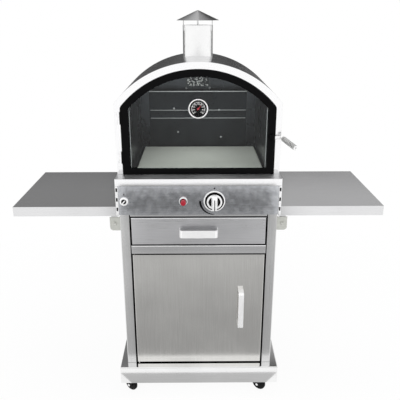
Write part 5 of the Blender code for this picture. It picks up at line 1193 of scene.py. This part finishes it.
# The baking stone is cast cordierite: pale grey-green, dusty, with fine dark specks, and its upper edges
# chamfered. It lies loose on a black steel hearth plate.
def fired_stone(name, hex_colour, hex_speck):
    """Cast and fired stone: a chalky pale ground with fine specks and a pitted skin."""
    made, shader, tree, place = new_finish(name, Roughness=0.85)
    ground = tinted(tree, noise(tree, place, 9.0, 6.0), hex_colour, 0.88, 1.10)
    specks = noise(tree, place, 520.0, 2.0)
    dark = node(tree, "ShaderNodeMapRange", [("Value", specks)], in_From_Min=0.56, in_From_Max=0.74,
                in_To_Max=0.35)
    flecked = node(tree, "ShaderNodeMix", [(0, dark), (6, ground)], data_type="RGBA")
    flecked.inputs[7].default_value = linear(hex_speck)
    tree.links.new(flecked.outputs[2], shader.inputs["Base Color"])
    raised(tree, shader, specks, 0.35, 0.0006)
    return made


stone = fired_stone("pale_fired_stone", "#E4E6DC", "#6F6D62")
hearth_steel = smoked_steel("black_hearth_steel", "#232425", 0.45, 30.0, 0.0006)
refined("pizza_stone", "trolley", stone, "baking_stone", 0.0012, 3)
refined("hearth_plate", "trolley", hearth_steel, "oven_steel", 0.0006)


# The rear baffle is a folded screen of oven steel in front of the burner, stiffened by two pressed beads and
# hung on four bright screws. Its folded top edge and the beads' crests carry painted highlights: thin bright
# strips.
EDGE_BAR = 0.0034
BAR_PROUD = 0.0006
BEAD_D = 0.003
BEAD_RISE_SHARES = (0.545, 0.68)
BEAD_CREST_H = 0.0022
BEAD_END = 0.004
CREST_PROUD = 0.0004
HOOK_HEAD = (0.0045, 0.0034)
HOOK_SUNK = 0.0002
SCREW_PLACES = ((-0.1023, 1.1361), (0.0895, 1.1301), (-0.0868, 1.0353), (0.0995, 1.0128))
baffle_steel = smoked_steel("smoked_baffle_steel", "#2D2F32", 0.30, 160.0, 0.0008)
refined("rear_baffle", "trolley", baffle_steel, "oven_steel", 0.0008)
baffle_low, baffle_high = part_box("rear_baffle")
baffle_face = baffle_low.y + BEAD_D
# The bright strips on the top edge and on the bead crests are painted highlights.
bar_low = (baffle_low.x, baffle_face - BAR_PROUD, baffle_high.z - EDGE_BAR)
highlight_strips = [boxed("edge_highlight_strip", bar_low, (baffle_high.x, baffle_face - SHEET_GAP, baffle_high.z), 0.0002)]
for rise in BEAD_RISE_SHARES:
    crest_z = baffle_low.z + (baffle_high.z - baffle_low.z) * rise
    crest_low = (baffle_low.x + BEAD_END, baffle_low.y - CREST_PROUD, crest_z - BEAD_CREST_H / 2)
    crest_high = (baffle_high.x - BEAD_END, baffle_low.y + CREST_PROUD, crest_z + BEAD_CREST_H / 2)
    highlight_strips.append(boxed("crest_highlight_strip", crest_low, crest_high, 0.0003))
fit(joined("baffle_painted_highlights", highlight_strips), "trolley", bright_and_highlight_steel, "bright_stainless")
hooks = [row_of_domes("hook", (x, baffle_face + HOOK_SUNK, z), *HOOK_HEAD) for x, z in SCREW_PLACES]
fit(joined("baffle_screws", hooks), "trolley", bright_and_highlight_steel, "bright_stainless")


# The oven lamp is a steel box high on the back wall, with a thick bevelled glass held by two screws.
# The glass is pressed in a pattern; its bright and dark spots are painted reflections, and it glows faintly.
def glass_with_painted_glints(name, hex_colour, hex_dark, ripple_mm=9.0):
    """Thick pressed lamp glass, frosted and rippled: painted reflections of daylight in broken spots, which
    glow faintly.
    """
    made, shader, tree, place = new_finish(name, Roughness=0.12, IOR=1.52, Emission_Strength=0.35)
    cells = node(tree, "ShaderNodeTexVoronoi", [("Vector", place)],
                 in_Scale=1000.0 / ripple_mm).outputs["Distance"]
    broken = node(tree, "ShaderNodeMapRange", [("Value", cells)], in_From_Min=0.15, in_From_Max=0.5)
    colour = node(tree, "ShaderNodeMix", [(0, broken)], data_type="RGBA")
    colour.inputs[6].default_value = linear(hex_colour)
    colour.inputs[7].default_value = linear(hex_dark)
    for socket in ("Base Color", "Emission Color"):
        tree.links.new(colour.outputs[2], shader.inputs[socket])
    raised(tree, shader, cells, 0.8, 0.002)
    return made


LAMP_CORNER_R = 0.010
LAMP_SCREW_X = 0.050
LAMP_SCREW_Z = 1.2175
LAMP_SCREW_HEAD = (0.0046, 0.0028)
housing_steel = smoked_steel("lamp_box_steel", "#505254", 0.30, 40.0, 0.0006)
refined("lamp_housing", "trolley", housing_steel, "oven_steel", 0.0015)
glass_low, glass_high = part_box("lamp_glass")
lamp_outline = []
for corner_x, corner_z, way_x, way_z, first in ((glass_high.x, glass_high.z, -1, -1, 0),
                                                (glass_low.x, glass_high.z, 1, -1, 90),
                                                (glass_low.x, glass_low.z, 1, 1, 180),
                                                (glass_high.x, glass_low.z, -1, 1, 270)):
    for degrees in range(first, first + 91, 15):
        a = math.radians(degrees)
        lamp_outline.append((corner_x + LAMP_CORNER_R * (way_x + math.cos(a)),
                             corner_z + LAMP_CORNER_R * (way_z + math.sin(a))))
lamp_pane = softened(extruded("lamp_pane", lamp_outline, glass_low.y, glass_high.y, "Y"), 0.0018, 3)
fit(lamp_pane, "trolley", glass_with_painted_glints("lamp_glass_painted_glints", "#F4F5F2", "#2C2F31"), "lamp_glass",
    "lamp_glass")
lamp_screw = (-LAMP_SCREW_X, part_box("lamp_housing")[0].y - SCREW_SUNK, LAMP_SCREW_Z)
lamp_screw_step = (2 * LAMP_SCREW_X, 0, 0)
lamp_screws = row_of_domes("lamp_screws", lamp_screw, *LAMP_SCREW_HEAD, bright_and_highlight_steel, 2, lamp_screw_step)
fit(lamp_screws, "trolley", bright_and_highlight_steel, "bright_stainless")


# The chimney is a rolled stainless pipe with a lapped seam at its back, three welded struts and a
# spun cone cap with a hemmed rim.
PIPE_SHEET = 0.0012
PIPE_RISE = 0.114
SEAM_HALF_W = 0.008
SEAM_PROUD = 0.0009
SEAM_SUNK = 0.0005
STRUT_W = 0.006
STRUT_T = 0.0015
STRUT_LAP = 0.020
STRUT_CLEAR = 0.0003
STRUT_TURNS = (68, -68, 180)
CAP_SHEET = 0.0015
chimney_steel = satin_steel("satin_chimney_sheet", "#FDFDFD", 0.26)
spun_steel = brushed_stainless("spun_cap_sheet", "#DCDCDD", 0.12, "Z", spread=0.05)
cap_low, cap_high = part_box("chimney_cap")
pipe_top = hood_high.z + PIPE_RISE
pipe_wall = [(pipe_r - PIPE_SHEET, pipe_low.z), (pipe_r, pipe_low.z), (pipe_r, pipe_top),
             (pipe_r - PIPE_SHEET, pipe_top)]
seam_low = (-SEAM_HALF_W, pipe_y + pipe_r - SEAM_SUNK, hood_high.z - 0.002)
seam_high = (SEAM_HALF_W, pipe_y + pipe_r + SEAM_PROUD, pipe_top - 0.001)
chimney_parts = [softened(chimney_turned("pipe", pipe_wall, 128), 0.0003),
                 boxed("seam", seam_low, seam_high, 0.0004)]
cap_r = cap_high.x
cap_h = cap_high.z - cap_low.z
slope = math.atan2(cap_h, cap_r)
strut_top = cap_low.z + cap_h * (1 - (pipe_r + STRUT_T) / cap_r) - CAP_SHEET / math.cos(slope) - STRUT_CLEAR
for degrees in STRUT_TURNS:
    strut_low = (-STRUT_W / 2, -pipe_r - STRUT_T, pipe_top - STRUT_LAP)
    strut = boxed("strut", strut_low, (STRUT_W / 2, -pipe_r, strut_top), 0.0003)
    strut.data.transform(Matrix.Translation((0, pipe_y, 0)) @ Matrix.Rotation(math.radians(degrees), 4, "Z"))
    chimney_parts.append(strut)
fit(joined("chimney_with_struts", chimney_parts), "trolley", chimney_steel, "bright_stainless",
    "chimney_pipe")
cone = [(0, cap_high.z), (0.004, cap_high.z - 0.0008), (cap_r - 0.0008, cap_low.z + 0.0009),
        (cap_r, cap_low.z + 0.0004), (cap_r - 0.0006, cap_low.z),
        (cap_r - CAP_SHEET / math.sin(slope), cap_low.z + 0.0001),
        (0, cap_high.z - CAP_SHEET / math.cos(slope))]
fit(chimney_turned("spun_cap", cone, 128), "trolley", spun_steel, "bright_stainless", "chimney_cap")


# The oven door is a folded frame of sheet steel in gloss black enamel, with a sheet of toughened glass
# held behind its lip. The enamel pulls a soft round edge.
def door_edge(inset):
    """The door's outline, moved inwards by an inset."""
    return arched(door_high.x - inset, door_r - inset, door_low.z + inset, DOOR_BEND_R - inset)


def window_glass(name, hex_tint, mirror_share=0.35):
    """Toughened glass, seen as one thin pane: it lets most light straight through and mirrors the rest."""
    made = bpy.data.materials.new(name)
    made.use_nodes = True
    tree = made.node_tree
    tree.nodes.clear()
    smear = noise(tree, node(tree, "ShaderNodeTexCoord").outputs["Object"], 7.0, 4.0)
    clear = node(tree, "ShaderNodeBsdfTransparent", in_Color=linear(hex_tint))
    mirror = node(tree, "ShaderNodeBsdfAnisotropic", in_Color=(1, 1, 1, 1))
    follow(tree, smear, mirror.inputs["Roughness"], 0.02, 0.07)
    edge_on = node(tree, "ShaderNodeFresnel", in_IOR=1.5)
    amount = arithmetic(tree)("MULTIPLY", edge_on.outputs[0], mirror_share)
    pane = node(tree, "ShaderNodeMixShader", [(0, amount), (1, clear), (2, mirror)])
    node(tree, "ShaderNodeOutputMaterial", [("Surface", pane)])
    return made


STILE_W = 0.0277
HEAD_W = 0.0241
SILL_W = 0.0227
FRAME_EDGE = 0.004
FRAME_T = 0.006
WINDOW_BEND_R = 0.010
PANE_INSET = 0.0015
STEM_HOLE_R = 0.0045
STEM_CUT_PAST = 0.004
door_r = hood_r - SURROUND_TOP_W - DOOR_CLEAR
window = arched(door_high.x - STILE_W, door_r - HEAD_W, door_low.z + SILL_W, WINDOW_BEND_R)
frame_back = door_low.y + FRAME_T
frame_section = [(door_edge(0), door_low.y), (window, door_low.y), (window, frame_back),
                 (door_edge(FRAME_EDGE), frame_back), (door_edge(FRAME_EDGE), door_high.y),
                 (door_edge(0), door_high.y)]
door_frame = softened(swept("door_frame", frame_section, True), 0.0012, 3)
# Fired black enamel: deep gloss over a faint orange peel.
enamel = patterned("gloss_black_enamel", "#060607", 260.0, 1.0, (0.7, 1.3), relief=(0.03, 0.0004),
                   Roughness=0.14, IOR=1.5, Specular_IOR_Level=0.06)
fit(door_frame, "oven_door", enamel, "black_enamel", "oven_door_frame")
pane_low, pane_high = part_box("oven_door_glass")
pane = extruded("door_pane", door_edge(FRAME_EDGE + PANE_INSET), pane_low.y, pane_high.y, "Y")
gauge_low, gauge_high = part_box("gauge_case")
gauge_z = (gauge_low.z + gauge_high.z) / 2
stem_cutter = rod("stem_hole", (0, pane_low.y - STEM_CUT_PAST, gauge_z),
                  (0, pane_high.y + STEM_CUT_PAST, gauge_z), STEM_HOLE_R)
cut_away(pane, stem_cutter)
fit(pane, "oven_door", window_glass("toughened_door_glass", "#F1F3F3"), "oven_glass", "oven_door_glass")


# The moving halves of the two hinges: a leaf screwed to the door's frame and enamelled with it, and the
# bright middle knuckle. Its pin shows only in the slits between the knuckles.
LEAF_FREE = 0.0003
DOOR_SCREW = (0.0022, 0.001)
KNUCKLE_SLIT = 0.0003
PIN_SLIT = 0.0001
leaf_left = hinge_x + HINGE_BARREL_R + LEAF_GAP
leaf_back = door_low.y - LEAF_FREE
leaf_face = leaf_back - HINGE_SHEET
for hinge_name in HINGES:
    hinge_low, hinge_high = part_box(hinge_name)
    third = (hinge_high.z - hinge_low.z) / 3
    foot, head = hinge_low.z + third, hinge_high.z - third
    leaf_high = (hinge_high.x, leaf_back, hinge_high.z)
    neck_high = (leaf_left + NECK_LAP, leaf_back, head - KNUCKLE_SLIT)
    door_parts = [boxed("leaf", (leaf_left, leaf_face, hinge_low.z), leaf_high, 0.0004),
                  boxed("neck", (hinge_x, leaf_face, foot + KNUCKLE_SLIT), neck_high, 0.0003)]
    for z in (hinge_low.z + third / 2, hinge_high.z - third / 2):
        screw_place = ((leaf_left + hinge_high.x) / 2, leaf_face + SCREW_SUNK, z)
        door_parts.append(row_of_domes("screw", screw_place, *DOOR_SCREW))
    pins = [rod("pin", (hinge_x, hinge_y, foot + slit), (hinge_x, hinge_y, head - slit), radius)
            for slit, radius in ((KNUCKLE_SLIT, HINGE_BARREL_R), (PIN_SLIT, HINGE_PIN_R))]
    fit(joined(hinge_name + "_leaf", door_parts), "oven_door", enamel, "black_enamel", hinge_name)
    fit(joined(hinge_name + "_pin", pins), "oven_door", surround_steel, "bright_stainless")


# The dial gauge: a spun chrome case through the glass, a black dial with white ticks and numbers in
# degrees, a red pointer and a thin lens.
def flat_paint(name, hex_colour, roughness=0.5):
    """Printed or sprayed paint with a faint grain."""
    return patterned(name, hex_colour, 900.0, 2.0, (0.9, 1.08), Roughness=roughness)


STEM_R = 0.004
STEM_END = -0.059
DIAL_R = 0.0305
DIAL_DOWN = 0.004
LENS_DOWN = 0.0021
NEEDLE_DOWN = 0.0029
CASE_FREE = 0.0003
PRINT_PROUD = 0.0002
DIAL_SWEEP = 270
LENS_R = DIAL_R - 0.0003
gauge_r = gauge_high.x
gauge_back = pane_low.y - CASE_FREE - gauge_low.y
case = [(0, STEM_END), (STEM_R, STEM_END), (STEM_R, -gauge_back), (gauge_r - 0.001, -gauge_back),
        (gauge_r, -gauge_back + 0.001), (gauge_r, -0.0035), (gauge_r - 0.0006, -0.0014),
        (gauge_r - 0.0019, -0.0003), (gauge_r - 0.0030, 0), (DIAL_R + 0.0008, -0.0003), (DIAL_R, -0.0012),
        (DIAL_R, -DIAL_DOWN), (0, -DIAL_DOWN)]
case_chrome = satin_steel("spun_chrome_case", "#FAFAFA", 0.16)
gauge_bezel = turned("gauge_bezel", case, (0, gauge_low.y, gauge_z), FORWARD, 96)
fit(gauge_bezel, "oven_door", case_chrome, "bright_stainless", "gauge_case")
dial_black = moulded_nylon("black_dial_paint", "#050506", 0.6, 0.5)
dial_y = gauge_low.y + DIAL_DOWN - 0.0001
dial = turned("gauge_dial", rectangle(0, DIAL_R - 0.0002, 0, 0.0001), (0, dial_y, gauge_z), FORWARD, 72)
fit(dial, "oven_door", dial_black, "black_nylon")
dial_white = flat_paint("white_dial_print", "#FCFCFA")
tick_sizes = {"Count": 41, "Every": 5, "Sweep": math.radians(DIAL_SWEEP), "Radius": 0.0248, "Short": 0.0026,
              "Long": 0.0042, "Width": 0.0010, "Finish": dial_white}
tick_tree, tick_in = geometry_tree("ticks_round_a_dial", tick_sizes)
calc = arithmetic(tick_tree)
tick_index = node(tick_tree, "GeometryNodeInputIndex").outputs[0]
is_long = calc("LESS_THAN", calc("MODULO", tick_index, tick_in["Every"]), 0.5)
lengths = [("Switch", is_long), ("False", tick_in["Short"]), ("True", tick_in["Long"])]
tick_length = node(tick_tree, "GeometryNodeSwitch", lengths, input_type="FLOAT").outputs[0]
tick_r = calc("SUBTRACT", tick_in["Radius"], calc("DIVIDE", tick_length, 2.0))
tick_points, tick_angle = arc_points(tick_tree, tick_in["Count"], tick_in["Sweep"], tick_r)
tick_turn = node(tick_tree, "ShaderNodeCombineXYZ", [("Y", tick_angle)])
tick_wide = calc("MULTIPLY", tick_in["Width"], calc("ADD", calc("MULTIPLY", is_long, 0.6), 1.0))
tick_scale = node(tick_tree, "ShaderNodeCombineXYZ", [("X", tick_wide), ("Z", tick_length)], in_Y=0.0001)
tick_cube = node(tick_tree, "GeometryNodeMeshCube", in_Size=(1.0, 1.0, 1.0))
tick_links = [("Points", tick_points), ("Instance", tick_cube), ("Rotation", tick_turn),
              ("Scale", tick_scale)]
tick_marks = node(tick_tree, "GeometryNodeInstanceOnPoints", tick_links)
tree_end(tick_tree, tick_marks.outputs[0], tick_in["Finish"])
print_y = dial_y - PRINT_PROUD
ticks = grown("gauge_ticks", tick_tree, tick_sizes)
ticks.data.transform(Matrix.Translation((0, print_y, gauge_z)))
NUMBER_H = 0.0062
NUMBER_R = 0.0172
NUMBER_STEP = 50
NUMBER_COUNT = 9
NUMBER_HALF_T = 0.00004
numbers = [ticks]
for i in range(NUMBER_COUNT):
    figure = bpy.data.curves.new("figure", "FONT")
    figure.body = str(NUMBER_STEP * (i + 1))
    figure.size = NUMBER_H
    figure.align_x = "CENTER"
    figure.align_y = "CENTER"
    figure.extrude = NUMBER_HALF_T
    figure.resolution_u = 2
    flat_figure = plain(linked("figure", figure))
    around = math.radians(-DIAL_SWEEP / 2 + DIAL_SWEEP * i / (NUMBER_COUNT - 1))
    place = (NUMBER_R * math.sin(around), print_y, gauge_z + NUMBER_R * math.cos(around))
    flat_figure.data.transform(Matrix.Translation(place) @ Matrix.Rotation(math.radians(90), 4, "X"))
    numbers.append(flat_figure)
fit(joined("gauge_print", numbers), "oven_door", dial_white, "lug_steel")
lens_dome = [(0, 0), (LENS_R, 0), (LENS_R, 0.0008), (0, 0.0010)]
lens = turned("gauge_lens", lens_dome, (0, gauge_low.y + LENS_DOWN, gauge_z), FORWARD, 72)
fit(lens, "oven_door", window_glass("thin_gauge_lens", "#FEFEFE", 0.1), "oven_glass")
POINTER_TURN = math.radians(40)
POINTER_HALF_W = 0.0011
POINTER_TAIL = 0.0060
POINTER_WAIST = 0.003
POINTER_L = 0.0165
POINTER_TIP_HALF_W = 0.0004
POINTER_HALF_T = 0.0003
pointer_red = flat_paint("red_pointer_paint", "#B8303C", 0.35)
needle_y = gauge_low.y + NEEDLE_DOWN
right_edge = [(POINTER_HALF_W, -POINTER_TAIL), (POINTER_HALF_W, POINTER_WAIST),
              (POINTER_TIP_HALF_W, POINTER_L)]
left_edge = [(-x, z) for x, z in reversed(right_edge)]
pointer_outline = left_edge[-1:] + right_edge + left_edge[:-1]
pointer = extruded("pointer", pointer_outline, -POINTER_HALF_T, POINTER_HALF_T, "Y")
pointer.data.transform(Matrix.Translation((0, needle_y, gauge_z)) @ Matrix.Rotation(POINTER_TURN, 4, "Y"))
hub = [(0, 0), (0.0032, 0), (0.0032, 0.0008), (0.0022, 0.0010), (0, 0.0010)]
pointer_hub = turned("hub", hub, (0, needle_y + POINTER_HALF_T, gauge_z), FORWARD, 32)
fit(joined("gauge_pointer", [pointer, pointer_hub]), "needle", pointer_red, "needle_red", "gauge_needle")


# The latch is a bent steel lever on the door's right stile, which drops on the keeper. Its grip is a
# coil of bright spring wire wound between two collars, which stays cool to the hand.
ARM_L = 0.033
ARM_H = 0.010
ARM_T = 0.004
BOSS_R = 0.011
BOSS_OUT = 0.0117
BOSS_FREE = 0.0003
ARM_LAP = 0.001
ROD_R = 0.003
ROD_BEND = 0.006
BEND_STEPS = 8
COLLAR_R = 0.0085
COLLAR_T = 0.0015
COIL_R = 0.00775
COIL_WIRE_R = 0.00175
bend_point = LATCH_PIVOT + Vector((0.0350, -0.032, 0.0013))
tip_point = LATCH_PIVOT + Vector((0.0685, -0.103, -0.0165))
boss_back = LATCH_PIVOT.y - BOSS_FREE
boss_section = [(0, 0), (BOSS_R, 0), (BOSS_R, BOSS_OUT - 0.002), (BOSS_R - 0.0007, BOSS_OUT - 0.0006),
                (BOSS_R - 0.002, BOSS_OUT), (0, BOSS_OUT)]
boss = turned("boss", boss_section, (LATCH_PIVOT.x, boss_back, LATCH_PIVOT.z))
arm_front = boss_back - BOSS_OUT
arm_low = (LATCH_PIVOT.x + BOSS_R - ARM_LAP, arm_front, LATCH_PIVOT.z - ARM_H / 2)
arm_high = (LATCH_PIVOT.x + ARM_L, arm_front + ARM_T, LATCH_PIVOT.z + ARM_H / 2)
arm = boxed("arm", arm_low, arm_high, 0.0008)
rod_start = Vector((LATCH_PIVOT.x + ARM_L - ROD_R, arm_front + ARM_T / 2, LATCH_PIVOT.z))
grip_line = (tip_point - bend_point).normalized()
bend_in = bend_point + (rod_start - bend_point).normalized() * ROD_BEND
bend_out = bend_point + grip_line * ROD_BEND
rod_path = [rod_start]
for i in range(BEND_STEPS + 1):
    t = i / BEND_STEPS
    rod_path.append(bend_in * (1 - t) ** 2 + bend_point * 2 * t * (1 - t) + bend_out * t**2)
lever_rod = bent_rod("lever_rod", rod_path + [tip_point], ROD_R)
collars = [turned("collar", rectangle(0, COLLAR_R, 0, COLLAR_T), at, grip_line, 40)
           for at in (bend_point, tip_point - grip_line * COLLAR_T)]
nut_section = [(0, 0), (0.0052, 0), (0.0052, 0.0022), (0.004, 0.003), (0, 0.003)]
nut = turned("nut", nut_section, (LATCH_PIVOT.x, arm_front + 0.0002, LATCH_PIVOT.z), FORWARD, 6)
fit(joined("latch_boss", [boss, nut]), "latch", enamel, "black_enamel")
fit(joined("latch_with_rod", [arm, lever_rod, *collars]), "latch", handle_steel, "bright_stainless",
    "latch_lever")
coil_chrome = satin_steel("bright_spring_wire", "#D0D0CF", 0.14)
coil_inset = grip_line * (COLLAR_T + COIL_WIRE_R + 0.0003)
coil_start, coil_end = bend_point + coil_inset, tip_point - coil_inset
coil_sizes = {"Turns": 14.0, "Points per turn": 24, "Coil radius": COIL_R,
              "Length": (coil_end - coil_start).length, "Wire radius": COIL_WIRE_R, "Finish": coil_chrome}
coil_tree, coil_in = geometry_tree("coil_of_wire", coil_sizes)
coil_path = node(coil_tree, "GeometryNodeCurveSpiral",
                 [("Resolution", coil_in["Points per turn"]), ("Rotations", coil_in["Turns"]),
                  ("Start Radius", coil_in["Coil radius"]), ("End Radius", coil_in["Coil radius"]),
                  ("Height", coil_in["Length"])])
coil_wire = node(coil_tree, "GeometryNodeCurvePrimitiveCircle", [("Radius", coil_in["Wire radius"])],
                 in_Resolution=10)
coil_links = [("Curve", coil_path), ("Profile Curve", coil_wire)]
coil_mesh = node(coil_tree, "GeometryNodeCurveToMesh", coil_links, in_Fill_Caps=True)
tree_end(coil_tree, coil_mesh.outputs[0], coil_in["Finish"])
coil = grown("latch_spring_grip", coil_tree, coil_sizes)
coil.data.transform(aimed(coil_start, grip_line))
fit(coil, "latch", coil_chrome, "bright_stainless", "latch_coil")


# The cabinet's back sheet is held by a row of screws down each side and one across its top.
BACK_FACE = 0.265
SCREW_X = 0.284
SCREW_HEAD = (0.004, 0.0018)
SIDE_ROW = (6, (0, 0, 0.14))
TOP_ROW = (5, (0.11, 0, 0))
screw_zinc = zinc_plate("zinc_plated_screw", "#C9CACB")
for side, first_x, first_z, (count, step) in (("left", -SCREW_X, 0.18, SIDE_ROW),
                                              ("right", SCREW_X, 0.18, SIDE_ROW),
                                              ("top", -0.22, 0.925, TOP_ROW)):
    first_screw = (first_x, BACK_FACE, first_z)
    screws = row_of_domes(f"back_screws_{side}", first_screw, *SCREW_HEAD, screw_zinc, count, step,
                          (0, 1, 0))
    fit(screws, "trolley", screw_zinc, "bright_stainless")
